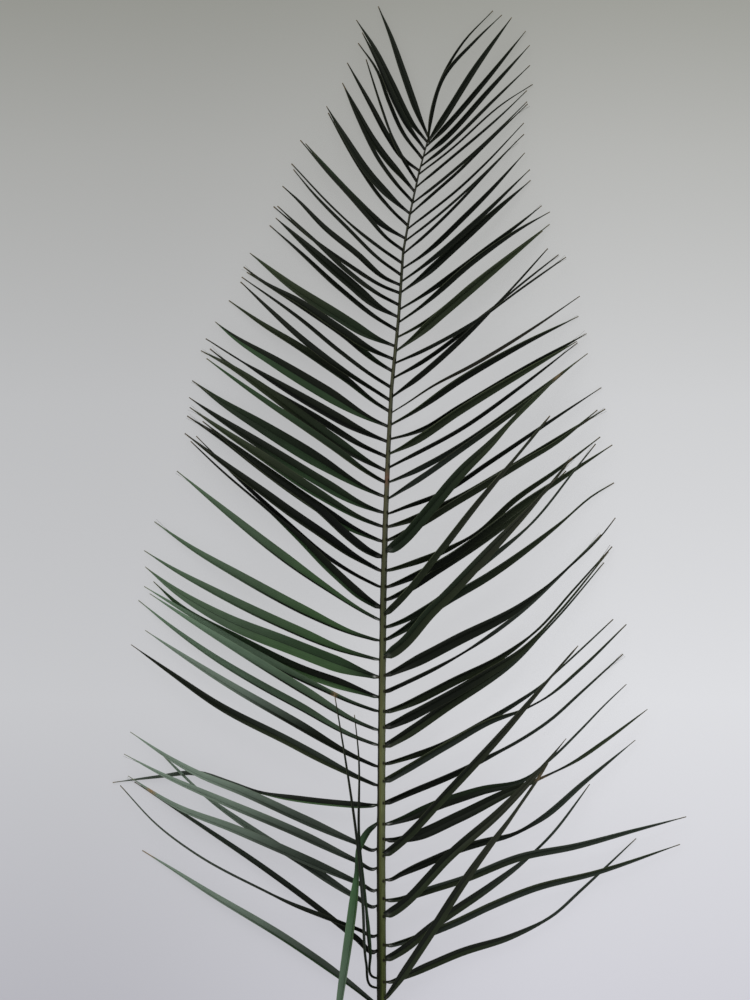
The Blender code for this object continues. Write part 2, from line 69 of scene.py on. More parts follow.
class Tone(Enum):
    """The colours that a leaflet's two wings take, from black-green through greens and grey-greens to browns.

    They are partly the leaf's own colours and partly painted light and shade: the grey-greens stand for the
    sheen that some wings catch, and the darkest partly for wings in shade.
    """

    BLACK = (0.0024, 0.0034, 0.0021)
    DEEP = (0.0066, 0.0094, 0.0044)
    FOREST = (0.0135, 0.0235, 0.0100)
    FERN = (0.0220, 0.0460, 0.0180)
    GREEN = (0.0440, 0.0880, 0.0330)
    BRIGHT = (0.0600, 0.1300, 0.0540)
    MOSS = (0.0600, 0.0950, 0.0540)
    SAGE = (0.0950, 0.1450, 0.0930)
    SILVER = (0.1500, 0.1950, 0.1480)
    SLATE = (0.0440, 0.0560, 0.0420)
    PEWTER = (0.0290, 0.0390, 0.0275)
    OLIVE = (0.0220, 0.0305, 0.0130)
    DUN = (0.0250, 0.0280, 0.0165)
    BROWN = (0.0260, 0.0230, 0.0135)


class Side(Enum):
    """The two sides of the midrib, as the survey sees them."""

    LEFT = -1
    RIGHT = 1


class Rib(NamedTuple):
    """One survey row of the midrib: its middle and its width."""

    x: float
    y: float
    width: float


@dataclass(frozen=True)
class Leaflet:
    """One leaflet of the survey.

    root is where it leaves the midrib, seen how wide it looks from above and course the points that
    it passes. thread is the share of its length after which only a thread-like end is left, thin how
    wide that end starts, pinch the share at which the blade turns on edge, and raised how far it
    stands above its layer. opens is the share by which it has its full width and foot how wide it
    starts, each as its row has it if 0. keel is how far the fold lies to the steeper wing's side.
    tone, outer and steep are the colours of its broad wing, of its outer part and of the wing that
    stands steeper, each partly the leaf's own colour and partly painted light and shade as that wing
    faces the light. The last field says how pale its foot shows, partly a pale callus and partly a
    painted glint.
    """

    root: float
    seen: float
    course: tuple
    thread: float = 1.0
    thin: float = 1.5
    pinch: float = -1.0
    raised: float = 0.0
    opens: float = 0.0
    foot: float = 0.0
    keel: float = 0.0
    tone: Tone = Tone.DEEP
    outer: Tone | None = None
    steep: Tone = Tone.BLACK
    pale_foot_and_glint: float = 0.5


RACHIS = (
    Rib(428, 137, 1.5), Rib(419, 170, 1.9), Rib(410, 211, 2.2), Rib(403, 250, 2.6),
    Rib(398.3, 317, 3.2), Rib(391.3, 387, 3.9), Rib(387.9, 450, 4.6), Rib(384.9, 525, 5.4),
    Rib(382.9, 600, 6.5), Rib(381.5, 720, 7.3), Rib(380.7, 850, 8.6), Rib(381.3, 1000, 9.5),
    Rib(381.3, 1064, 10.0), Rib(381.3, 1130, 10.0),
)

# The width of an opened-out leaflet, by where it leaves the midrib
FULL_WIDTHS = ((136, 8.0), (250, 9.0), (346, 12.0), (500, 13.0), (680, 15.0), (760, 12.0), (1006, 10.0))

LEFT = (
    Leaflet(136, 7, ((418, 112), (403, 70), (390, 32), (378, 3)), steep=Tone.DEEP),
    Leaflet(141, 7, ((412, 122), (391, 81), (373.5, 45), (356, 17)), steep=Tone.DEEP),
    Leaflet(149, 6, ((408, 125), (395, 101), (379, 64), (362, 30))),
    Leaflet(158, 4, ((403, 131), (389, 100), (376, 66), (358, 40))),
    Leaflet(170, 5.5, ((404, 158), (389, 137), (371, 104), (347, 60))),
    Leaflet(181, 4, ((403, 158), (393, 138), (381, 105), (366, 57)), thread=0.5, thin=2.0),
    Leaflet(191, 7, ((402, 175), (387, 157.5), (371, 135), (356, 107), (342, 80)), steep=Tone.DEEP),
    Leaflet(201, 4, ((396, 182), (380, 160), (366, 134), (352, 104), (344, 84))),
    Leaflet(213, 8, ((396, 201), (369, 173), (343, 133), (326, 104)), steep=Tone.DEEP),
    Leaflet(225, 3.5, ((395, 212), (380, 195), (360, 166.5), (336, 125), (328, 110))),
    Leaflet(238, 7, ((386, 226), (355, 198.3), (320, 159), (305, 141)), outer=Tone.FOREST),
    Leaflet(250, 4, ((388, 238), (368, 216), (348, 193), (325, 168), (300, 138))),
    Leaflet(263, 3.5, ((385, 250), (357, 228.3), (330, 203), (291, 161)), thread=0.55),
    Leaflet(275, 3.5, ((380, 258.5), (347, 226.3), (310, 188), (293, 167))),
    Leaflet(285, 6, ((385, 277), (357, 253), (325, 227), (295, 196), (282, 184))),
    Leaflet(293, 4, ((385, 286), (350, 264.3), (310, 235.5), (273, 204))),
    Leaflet(305, 4.5, ((380, 294), (345, 268), (315, 240), (277, 204)), raised=5),
    Leaflet(317, 10, ((380, 307), (350, 282.5), (318, 255), (275, 216)), steep=Tone.DEEP),
    Leaflet(330, 4.8, ((380, 319), (340, 287.3), (300, 250.5), (269, 223))),
    Leaflet(346, 11, ((376, 337.5), (335, 313), (295, 287.3), (249, 251)), keel=0.2, tone=Tone.FOREST,
            outer=Tone.OLIVE, steep=Tone.FOREST),
    Leaflet(359, 7.5, ((375, 350.5), (340, 328), (300, 301), (262, 279.8), (243, 265)), steep=Tone.DEEP),
    Leaflet(371, 7.5, ((378, 361.5), (345, 334), (305, 306.5), (246, 270)), tone=Tone.FOREST,
            steep=Tone.DEEP),
    Leaflet(387, 4, ((375, 376.5), (340, 350.5), (300, 317.5), (241, 275))),
    Leaflet(400, 6.5, ((375, 390), (345, 370.5), (309, 343.7), (270, 308.8), (240, 280)), opens=0.5),
    Leaflet(411, 8, ((375, 401.5), (346, 378), (301, 346.5), (260, 321), (228, 298.5)), opens=0.42,
            outer=Tone.OLIVE, steep=Tone.FOREST),
    Leaflet(426, 14.3, ((370, 417.8), (325, 391.5), (275, 361.2), (230, 333), (214, 320)), opens=0.36,
            steep=Tone.FERN),
    Leaflet(441, 10, ((366, 432), (320, 407), (262, 373), (228, 351.8), (205, 337)), thread=0.82,
            tone=Tone.DEEP, steep=Tone.BLACK),
    Leaflet(456, 6.5, ((365, 446), (315, 415.5), (265, 386.5), (222, 357.3), (209, 347)), raised=-3,
            tone=Tone.DEEP),
    Leaflet(470, 11, ((368, 461), (350, 449.8), (320, 429), (271, 392.8), (228, 363.8), (200, 349)),
            keel=0.1, tone=Tone.FOREST, outer=Tone.OLIVE, steep=Tone.DEEP),
    Leaflet(482, 6.5, ((370, 473), (335, 447.3), (300, 423), (265, 399.5), (230, 374.8), (206, 357)),
            raised=5, tone=Tone.FOREST, outer=Tone.FERN, steep=Tone.OLIVE),
    Leaflet(496, 15.5, ((366, 488), (320, 461), (258, 423.3), (220, 400), (191, 379)), opens=0.42,
            outer=Tone.FOREST, steep=Tone.FERN),
    Leaflet(512, 11.5, ((364, 504.8), (318, 479), (260, 443), (208, 409.8), (188, 396)), keel=0.15,
            tone=Tone.FOREST, outer=Tone.DEEP, steep=Tone.FERN),
    Leaflet(526, 10, ((362, 517.8), (318, 492.2), (258, 452.2), (212, 422), (189, 406)), raised=4,
            opens=0.4, keel=0.3, tone=Tone.FOREST, outer=Tone.OLIVE, steep=Tone.FERN),
    Leaflet(541, 10, ((355, 529), (311, 501.3), (263, 467.5), (225, 439.8), (186, 414.5)),
            tone=Tone.BLACK, outer=Tone.DEEP, steep=Tone.FERN),
    Leaflet(557, 8, ((366, 548.5), (351, 537), (317, 506), (269, 472), (202, 420)), raised=6, opens=0.14,
            foot=5, tone=Tone.BLACK, outer=Tone.DEEP, steep=Tone.DEEP),
    Leaflet(571, 9.3, ((351, 553), (326, 535), (290, 510.3), (262, 489.8), (230, 466.8), (184, 432)),
            tone=Tone.BLACK, outer=Tone.DEEP, steep=Tone.DEEP),
    Leaflet(587, 5, ((354, 573), (325, 554.5), (284, 519.7), (235, 475), (195, 435)), opens=0.4,
            tone=Tone.BLACK),
    Leaflet(608, 9.5, ((366, 598), (333, 569.5), (300, 537), (262, 503.8), (221, 469), (190, 440)),
            thread=0.62, thin=2.0, opens=0.14, foot=5, raised=6, pale_foot_and_glint=0.4, outer=Tone.BLACK,
            steep=Tone.FERN),
    Leaflet(620, 9.8, ((365, 611.5), (325, 585.3), (277, 550.7), (222, 507.5), (176, 470)), opens=0.48,
            tone=Tone.GREEN, outer=Tone.MOSS, keel=0.55, pale_foot_and_glint=1.0),
    Leaflet(640, 10, ((352, 631.7), (309, 612), (237, 573.6), (190, 546.5), (153, 521)), opens=0.36,
            keel=0.5, tone=Tone.GREEN, outer=Tone.MOSS),
    Leaflet(659, 9.8, ((343, 648.8), (298, 630), (214, 590.2), (170, 566.8), (143, 550)), opens=0.34,
            tone=Tone.GREEN, outer=Tone.MOSS, keel=0.6, pale_foot_and_glint=1.0),
    Leaflet(677, 16.5, ((356, 669.7), (290, 644.6), (225, 618.5), (170, 586.2), (144, 566)), opens=0.2,
            foot=4, pale_foot_and_glint=1.0, tone=Tone.FERN, outer=Tone.MOSS, steep=Tone.GREEN),
    Leaflet(697, 11.5, ((352, 687.3), (297, 668.2), (240, 640.5), (180, 606.3), (152, 581)), raised=-3,
            opens=0.2, foot=4, pale_foot_and_glint=0.6, outer=Tone.FERN, steep=Tone.GREEN),
    Leaflet(711, 8.5, ((352, 701.3), (320, 686.3), (260, 655.5), (195, 617), (143, 586)), opens=0.5,
            keel=0.3, tone=Tone.MOSS, outer=Tone.SAGE),
    Leaflet(730, 9, ((357, 720.5), (308, 691), (228, 642), (190, 618.8), (149, 593)), raised=6,
            opens=0.35, tone=Tone.MOSS, outer=Tone.SAGE, steep=Tone.DEEP, keel=0.5, pale_foot_and_glint=0.8),
    Leaflet(745, 7.9, ((352, 734.7), (300, 705.6), (260, 684), (218, 659.3), (164, 621.5), (137, 600)),
            opens=0.35, keel=0.6, pale_foot_and_glint=1.0, tone=Tone.MOSS, outer=Tone.SAGE),
    Leaflet(767, 9.3, ((353, 755), (299, 723.8), (218, 677.2), (170, 647), (144, 630)), opens=0.35,
            keel=0.3, outer=Tone.SILVER, steep=Tone.DEEP),
    Leaflet(786, 9, ((353, 774), (320, 756.8), (290, 740.8), (218, 704), (170, 671.8), (130, 644.2)),
            tone=Tone.PEWTER, outer=Tone.DEEP, steep=Tone.OLIVE),
    Leaflet(804, 6.5, ((367, 804.8), (330, 802.3), (300, 799), (260, 792.5), (228, 783), (196, 773.2),
            (157, 777), (111.2, 783)), pinch=0.45, opens=0.1, raised=-6, pale_foot_and_glint=1.0, outer=Tone.SLATE,
            steep=Tone.GREEN),
    Leaflet(851, 9.3, ((356, 842), (300, 817), (243, 791), (196, 772.5), (170, 758.5), (129, 732)),
            opens=0.3, keel=0.25, tone=Tone.SLATE, outer=Tone.SILVER, steep=Tone.PEWTER),
    Leaflet(870.5, 8.8, ((356, 860.2), (300, 832.8), (215, 796.8), (161, 773.5), (123, 754)), opens=0.3,
            keel=0.25, pale_foot_and_glint=0.8, tone=Tone.SLATE, outer=Tone.SILVER, steep=Tone.PEWTER),
    Leaflet(892.5, 9.5, ((364, 885.5), (310, 860.8), (234, 827.8), (176, 805.5), (127, 776)), raised=8,
            opens=0.3, keel=0.4, pale_foot_and_glint=1.0, tone=Tone.PEWTER, outer=Tone.SILVER, steep=Tone.SLATE),
    Leaflet(909, 8, ((356, 897), (301, 861), (250, 828), (205, 796), (161, 755)), thread=0.9, thin=2.4,
            raised=-2, tone=Tone.SLATE, outer=Tone.SILVER, steep=Tone.SLATE),
    Leaflet(938, 4.5, ((360, 930), (320, 914.5), (290, 902.5), (262, 888.8), (196, 853.5), (157, 825),
            (119, 785.5)), thread=0.45, thin=1.9, outer=Tone.SLATE),
    Leaflet(956, 5.5, ((356, 938.5), (320, 910), (263, 868), (205, 829), (133, 782.5)), raised=-3,
            opens=0.1, foot=5, outer=Tone.PEWTER),
    Leaflet(979, 5.2, ((372, 976.5), (370, 952), (364.5, 892), (359, 839), (358, 750), (354, 714)),
            foot=2.3, thread=0.35, thin=2.6, raised=21, tone=Tone.FERN, outer=Tone.DEEP),
    Leaflet(988.5, 3.4, ((371, 986), (366, 962), (362.5, 902), (357, 839), (346, 762), (334, 692)),
            foot=2.3, thread=0.35, thin=2.6, raised=25.4, tone=Tone.PEWTER, outer=Tone.DEEP),
    Leaflet(820, 9, ((369, 829), (359, 846), (356, 875), (349, 930), (339, 1000), (330, 1080)), raised=14,
            pinch=0.19, opens=0.12, keel=0.5, tone=Tone.BRIGHT, outer=Tone.SAGE, steep=Tone.GREEN),
    Leaflet(1009, 7.8, ((348, 982.5), (290, 941.5), (205, 890.5), (170, 868.6), (141, 851)), raised=-4,
            keel=0.5, tone=Tone.SLATE, outer=Tone.SILVER, steep=Tone.FERN),
)

RIGHT = (
    Leaflet(135, 3, ((430, 115), (440, 80), (463, 40), (493, 7.5))),
    Leaflet(137, 4, ((431, 115), (442, 78), (475, 38.8), (502, 12))),
    Leaflet(139, 6.5, ((439, 124), (476, 66), (512, 15)), steep=Tone.DEEP),
    Leaflet(143, 5.5, ((440, 131), (484, 80.5), (526, 28)), steep=Tone.DEEP),
    Leaflet(153, 5.5, ((441, 140.5), (490, 87.5), (530, 42.5)), steep=Tone.DEEP),
    Leaflet(163, 3.6, ((441, 149), (494, 98.5), (530, 63))),
    Leaflet(171, 2.3, ((449, 149), (506, 99), (533, 81.5))),
    Leaflet(184, 2.9, ((445, 161.5), (505, 109.8), (527, 88))),
    Leaflet(200, 3.1, ((430, 188.3), (477, 149), (500, 127), (527, 99.5))),
    Leaflet(211, 3.2, ((429, 195.5), (460, 168), (480, 148), (528, 101))),
    Leaflet(226, 2.7, ((425, 214), (460, 186), (483, 164.3), (524, 120.5))),
    Leaflet(238, 2.7, ((424, 225.3), (460, 195.2), (480, 176.5), (524, 132))),
    Leaflet(251, 3.2, ((419, 239), (460, 199.5), (474, 184.5), (517, 138.5))),
    Leaflet(266, 5.4, ((419, 256.5), (465, 214.8), (490, 189.5), (525, 150.5)), opens=0.3),
    Leaflet(279, 5.2, ((419, 268), (475, 221), (530, 167.5)), opens=0.3, steep=Tone.DEEP),
    Leaflet(290, 7.8, ((415, 281), (460, 241), (490, 213.8), (531, 178)), opens=0.25, steep=Tone.DEEP),
    Leaflet(307, 6, ((420, 296), (460, 268), (490, 244.8), (520, 221.5), (542, 203.5)), opens=0.35,
            steep=Tone.DEEP),
    Leaflet(320, 5.8, ((415, 310), (474, 260), (520, 227.5), (550, 210)), opens=0.35, steep=Tone.DEEP),
    Leaflet(335, 6, ((410, 329.6), (430, 318), (475, 281.5), (550, 222)), opens=0.3, tone=Tone.OLIVE,
            steep=Tone.OLIVE),
    Leaflet(349, 9.5, ((410, 339.8), (441, 313.3), (485, 276), (543, 229)), opens=0.25, tone=Tone.OLIVE,
            steep=Tone.OLIVE),
    Leaflet(361, 4, ((418, 352), (480, 317.5), (520, 288.3), (566, 255.5)), thread=0.72, thin=1.8,
            raised=3),
    Leaflet(376, 4.5, ((415, 365), (490, 308.5), (520, 283.5), (559, 252.5)), thread=0.72, thin=1.8,
            raised=-2),
    Leaflet(395, 6, ((412, 381), (464, 335.5), (509, 290), (548, 246.5)), thread=0.75, thin=1.8,
            raised=-1),
    Leaflet(411, 4, ((405, 403.3), (430, 386.8), (475, 362.8), (534, 326.3), (580, 294.5)), opens=0.5,
            foot=2, tone=Tone.BROWN),
    Leaflet(423, 7.2, ((410, 413), (460, 379), (520, 344.3), (579, 314.5)), opens=0.3, steep=Tone.OLIVE),
    Leaflet(437, 9, ((410, 433), (425, 427.5), (461, 407), (540, 359), (587, 332)), opens=0.35,
            tone=Tone.DEEP, steep=Tone.DEEP),
    Leaflet(452, 8, ((405, 445.5), (420, 437), (455, 413), (534, 365), (577, 340)), tone=Tone.OLIVE,
            steep=Tone.OLIVE),
    Leaflet(466, 4.4, ((410, 455.5), (460, 428.5), (520, 386), (578, 341))),
    Leaflet(481, 6, ((410, 472.3), (430, 462.2), (460, 445), (520, 403), (588, 352)), tone=Tone.SLATE,
            outer=Tone.OLIVE, steep=Tone.DEEP),
    Leaflet(498, 6, ((405, 487), (430, 470.5), (455, 452.5), (532, 396.8), (580, 358)), tone=Tone.SLATE,
            outer=Tone.OLIVE, steep=Tone.DEEP),
    Leaflet(513, 5, ((405, 506.3), (440, 493), (490, 460.8), (550, 420.3), (602, 386))),
    Leaflet(526, 7.5, ((408, 520), (450, 502), (510, 468), (569, 431), (606, 408)), tone=Tone.OLIVE,
            steep=Tone.OLIVE),
    Leaflet(540, 7, ((402, 533), (460, 499), (520, 463), (559, 440), (598, 409)), tone=Tone.OLIVE,
            steep=Tone.OLIVE),
    Leaflet(552, 12, ((399, 542), (428, 510), (463, 469), (490, 443), (511, 420.5), (563, 370)),
            raised=18, opens=0.06, foot=7, thread=0.8, thin=4.4, tone=Tone.FOREST, outer=Tone.OLIVE,
            steep=Tone.FOREST),
    Leaflet(570, 6.5, ((404, 565), (450, 547.3), (482, 528.5), (515, 499), (555, 471), (601, 436)),
            pinch=0.36, tone=Tone.OLIVE, steep=Tone.OLIVE),
    Leaflet(587, 8, ((403, 580), (440, 562.5), (491, 527.3), (520, 505.2), (560, 478.5), (613, 444)),
            outer=Tone.OLIVE, steep=Tone.OLIVE),
    Leaflet(600, 7.2, ((404, 591), (439, 569), (491, 534.5), (520, 513), (539, 497), (567, 470)),
            outer=Tone.OLIVE, steep=Tone.OLIVE),
    Leaflet(615, 7, ((395, 604), (439, 551), (474, 506), (525, 445), (550, 415)), raised=18, opens=0.06,
            foot=6, thread=0.9, thin=2.4, tone=Tone.OLIVE, outer=Tone.DUN, steep=Tone.OLIVE),
    Leaflet(627, 7, ((405, 619), (430, 604.8), (477, 567), (530, 523.5), (576, 467.5), (596, 443)),
            thread=0.68, thin=1.9, raised=7, tone=Tone.FOREST, outer=Tone.PEWTER, steep=Tone.FOREST),
    Leaflet(640, 8.7, ((400, 631), (445, 601), (489, 575.2), (560, 523.2), (594, 494.5), (615, 482)),
            thread=0.85, tone=Tone.FOREST, outer=Tone.OLIVE, steep=Tone.FOREST),
    Leaflet(658, 12, ((402, 643.5), (430, 611), (448, 592.8), (497, 541), (534, 502), (572, 457)),
            raised=18, opens=0.06, foot=7, thread=0.9, thin=2.4, tone=Tone.OLIVE, outer=Tone.DUN,
            steep=Tone.FOREST),
    Leaflet(676, 12, ((404, 666.3), (430, 653.2), (453, 641), (518, 607), (568, 567), (603, 533.5),
            (616, 517)), thread=0.7, thin=1.9, foot=4.5, steep=Tone.DEEP),
    Leaflet(692, 4.5, ((403, 683.3), (462, 653), (518, 614), (570, 566), (602, 534)), pinch=0.33,
            opens=0.1, foot=4.5, outer=Tone.SLATE),
    Leaflet(712, 9, ((403, 705.3), (453, 681), (500, 657), (537, 629.5), (573, 590), (613, 546)),
            thread=0.62, thin=2.0, foot=4.5, tone=Tone.OLIVE, steep=Tone.DEEP),
    Leaflet(728, 10.5, ((402, 719.5), (430, 705), (460, 688.5), (490, 670.5), (518, 652.5), (555, 615.5),
            (609, 551)), thread=0.7, thin=2.0, opens=0.12, foot=6, tone=Tone.DEEP, outer=Tone.OLIVE,
            steep=Tone.DEEP),
    Leaflet(747, 10.5, ((402, 736), (449, 704), (517, 658), (555, 620), (605, 562)), thread=0.7, thin=1.8,
            opens=0.12, foot=7, tone=Tone.OLIVE, outer=Tone.PEWTER, steep=Tone.DEEP),
    Leaflet(764, 6.5, ((407, 757), (438, 746), (485, 721), (520, 700), (537, 688.5), (560, 668.3),
            (614, 619)), thread=0.74, thin=1.6, tone=Tone.OLIVE, outer=Tone.PEWTER),
    Leaflet(782, 8, ((402, 771), (447, 744.2), (491, 720), (520, 710), (545, 697.3), (580, 668.7),
            (627, 624)), thread=0.62, thin=3.4, opens=0.12, foot=7, pinch=0.6, tone=Tone.PEWTER,
            steep=Tone.OLIVE),
    Leaflet(804, 7, ((407, 793.5), (457, 772.5), (490, 756), (520, 740), (550, 720.2), (580, 693.7),
            (605, 671.2), (624, 654)), thread=0.55, thin=3.0, foot=5.5, outer=Tone.PEWTER),
    Leaflet(825, 11, ((403, 818.5), (440, 803), (460, 796.2), (481, 789.7), (522, 780), (551, 758),
            (580, 730), (605, 704.5), (627, 684)), thread=0.6, thin=2.4, foot=4.5, pale_foot_and_glint=1.0,
            outer=Tone.PEWTER, steep=Tone.FOREST),
    Leaflet(840, 12, ((407, 837.5), (458, 816), (508, 791), (543, 776), (573, 761.5), (605, 740.3),
            (648, 709)), thread=0.66, thin=4.6, pinch=0.63, outer=Tone.OLIVE, steep=Tone.DEEP),
    Leaflet(857, 9, ((398, 843.5), (446, 792), (502, 731), (550, 676), (578, 645)), raised=18, opens=0.06,
            foot=8.5, thread=0.95, thin=2.0, tone=Tone.OLIVE, outer=Tone.DUN, steep=Tone.DEEP),
    Leaflet(882.5, 8.6, ((401, 873.7), (430, 860.5), (456, 849.5), (490, 839.5), (509, 835), (539, 819.5),
            (584, 782), (636, 740)), pinch=0.5, pale_foot_and_glint=0.8, outer=Tone.PEWTER, steep=Tone.DEEP),
    Leaflet(900, 8.3, ((401, 898.7), (430, 889.3), (462, 879), (521, 856), (574, 845.8), (635, 830),
            (687, 817)), tone=Tone.OLIVE, outer=Tone.PEWTER, steep=Tone.PEWTER),
    Leaflet(918, 10.5, ((399, 906.5), (430, 874.5), (441, 862), (502, 807), (545, 762.5), (566, 738)),
            raised=18, opens=0.06, foot=8.5, tone=Tone.OLIVE, outer=Tone.DUN, steep=Tone.DEEP),
    Leaflet(946.5, 8, ((401, 942.8), (452, 924), (490, 906), (533, 888.5), (595, 873), (681, 845)),
            pale_foot_and_glint=0.8, tone=Tone.PEWTER, steep=Tone.OLIVE),
    Leaflet(962, 9.5, ((400, 951.5), (431, 926.5), (494, 882.5), (520, 863), (550, 835.3), (580, 797.5),
            (590, 784)), thread=0.76, thin=2.6, opens=0.12, foot=8, tone=Tone.OLIVE, outer=Tone.PEWTER,
            steep=Tone.DEEP),
    Leaflet(984, 9, ((397, 980), (430, 965.5), (460, 952.8), (513, 936), (554, 915), (580, 891.8),
            (637, 839)), thread=0.66, thin=3.0, tone=Tone.OLIVE, outer=Tone.PEWTER, steep=Tone.DEEP),
    Leaflet(1004, 9.5, ((399, 979), (431, 929), (462, 880), (490, 841), (505, 822), (520, 801.5),
            (548, 762)), thread=0.92, thin=3.0, raised=23.4, tone=Tone.OLIVE, outer=Tone.DUN,
            steep=Tone.DEEP),
)


class Fleck(NamedTuple):
    """A dry, brown place on the blades: its middle in the survey, its reach and its strength."""

    x: float
    y: float
    reach: float
    strength: float


FLECKS = (
    Fleck(152, 790, 5.0, 1.0), Fleck(556, 375, 3.5, 0.8), Fleck(541, 777, 5.0, 0.7),
    Fleck(146, 853, 9.0, 0.9), Fleck(334, 694, 4.0, 0.7), Fleck(201, 350, 5.0, 0.5),
    Fleck(188, 380, 6.0, 0.5), Fleck(190, 408, 5.0, 0.5), Fleck(245, 253, 4.0, 0.4),
)


def clamp(share: float) -> float:
    """Hold a share between 0 and 1."""
    return min(max(share, 0.0), 1.0)


def ease(share: float) -> float:
    """Go smoothly from 0 to 1 as share does."""
    share = clamp(share)
    return share * share * (3.0 - 2.0 * share)


def bell(gap: float, reach: float) -> float:
    """Fall smoothly from 1 where the gap is 0 to nearly 0 at twice the reach."""
    return math.exp(-((gap / reach) ** 2))


def between(rows: tuple, at: float) -> float:
    """Read a value from rows of (place, value), in straight lines between them.

    Args:
        rows: pairs of place and value, by rising place.
        at: the place to read.

    Returns:
        The value there, held at the first and last rows beyond them.
    """
    for (low, start), (high, end) in zip(rows, rows[1:]):
        if at <= high:
            return start + (end - start) * max(at - low, 0.0) / (high - low)
    return rows[-1][1]


def in_row(x: float, y: float, z: float) -> Vector:
    """Turn survey millimetres into the model's metres."""
    return Vector((x - MIDDLE_X, MIDDLE_Y - y, z)) * MM


def smooth_course(points: list, steps: int = 12) -> list:
    """Lay a smooth curve through points, each span a cubic that keeps its neighbours' slope.

    Args:
        points: the survey points to pass.
        steps: the points worked out on each span.

    Returns:
        The curve's points, close together.
    """
    knots = [Vector(point) for point in points]
    spans = [(b - a).length for a, b in zip(knots, knots[1:])]
    slopes = [(knots[1] - knots[0]) / spans[0]]
    for i in range(1, len(knots) - 1):
        before = (knots[i] - knots[i - 1]) / spans[i - 1]
        after = (knots[i + 1] - knots[i]) / spans[i]
        slopes.append((before * spans[i] + after * spans[i - 1]) / (spans[i] + spans[i - 1]))
    slopes.append((knots[-1] - knots[-2]) / spans[-1])
    curve = []
    for i, span in enumerate(spans):
        near = knots[i] + slopes[i] * span / 3.0
        far = knots[i + 1] - slopes[i + 1] * span / 3.0
        curve += interpolate_bezier(knots[i], near, far, knots[i + 1], steps + 1)[:steps]
    return curve + [knots[-1]]


def along(curve: list, shares: list) -> list:
    """Find the points at the given shares of a curve's length.

    Args:
        curve: points close together.
        shares: rising shares from 0 to 1.

    Returns:
        One point for each share.
    """
    lengths = [0.0]
    for a, b in zip(curve, curve[1:]):
        lengths.append(lengths[-1] + (b - a).length)
    found = []
    span = 0
    for share in shares:
        want = share * lengths[-1]
        while span < len(curve) - 2 and lengths[span + 1] < want:
            span += 1
        part = (want - lengths[span]) / (lengths[span + 1] - lengths[span])
        found.append(curve[span].lerp(curve[span + 1], min(part, 1.0)))
    return found


class Value:
    """A number in a shader tree, so that shader maths reads as an expression."""

    def __init__(self, tree: "ShaderTree", socket: bpy.types.NodeSocket) -> None:
        """Wrap a socket.

        Args:
            tree: the shader tree that holds it.
            socket: the output socket that carries the number.
        """
        self.tree = tree
        self.socket = socket

    def _maths(self, operation: str, first: object, second: object = None) -> "Value":
        """Add a Math node.

        Args:
            operation: the Math node's operation.
            first: a number or a Value.
            second: a number or a Value, where the operation takes two.

        Returns:
            The node's result.
        """
        inputs = {0: first} if second is None else {0: first, 1: second}
        node = self.tree.node("ShaderNodeMath", {"operation": operation}, inputs)
        return Value(self.tree, node.outputs[0])

    def __add__(self, other: object) -> "Value":
        """Add other."""
        return self._maths("ADD", self, other)

    def __radd__(self, other: object) -> "Value":
        """Add to other."""
        return self._maths("ADD", other, self)

    def __sub__(self, other: object) -> "Value":
        """Take other away."""
        return self._maths("SUBTRACT", self, other)

    def __rsub__(self, other: object) -> "Value":
        """Take this away from other."""
        return self._maths("SUBTRACT", other, self)

    def __mul__(self, other: object) -> "Value":
        """Multiply by other."""
        return self._maths("MULTIPLY", self, other)

    def __rmul__(self, other: object) -> "Value":
        """Multiply other by this."""
        return self._maths("MULTIPLY", other, self)

    def sine(self) -> "Value":
        """Take the sine."""
        return self._maths("SINE", self)

    def size(self) -> "Value":
        """Take the absolute value."""
        return self._maths("ABSOLUTE", self)

    def step(self, low: float, high: float) -> "Value":
        """Go smoothly from 0 at low to 1 at high.

        Args:
            low: where the result leaves 0.
            high: where the result reaches 1.

        Returns:
            The smooth step.
        """
        settings = {"interpolation_type": "SMOOTHSTEP"}
        inputs = {"Value": self, "From Min": low, "From Max": high}
        node = self.tree.node("ShaderNodeMapRange", settings, inputs)
        return Value(self.tree, node.outputs["Result"])


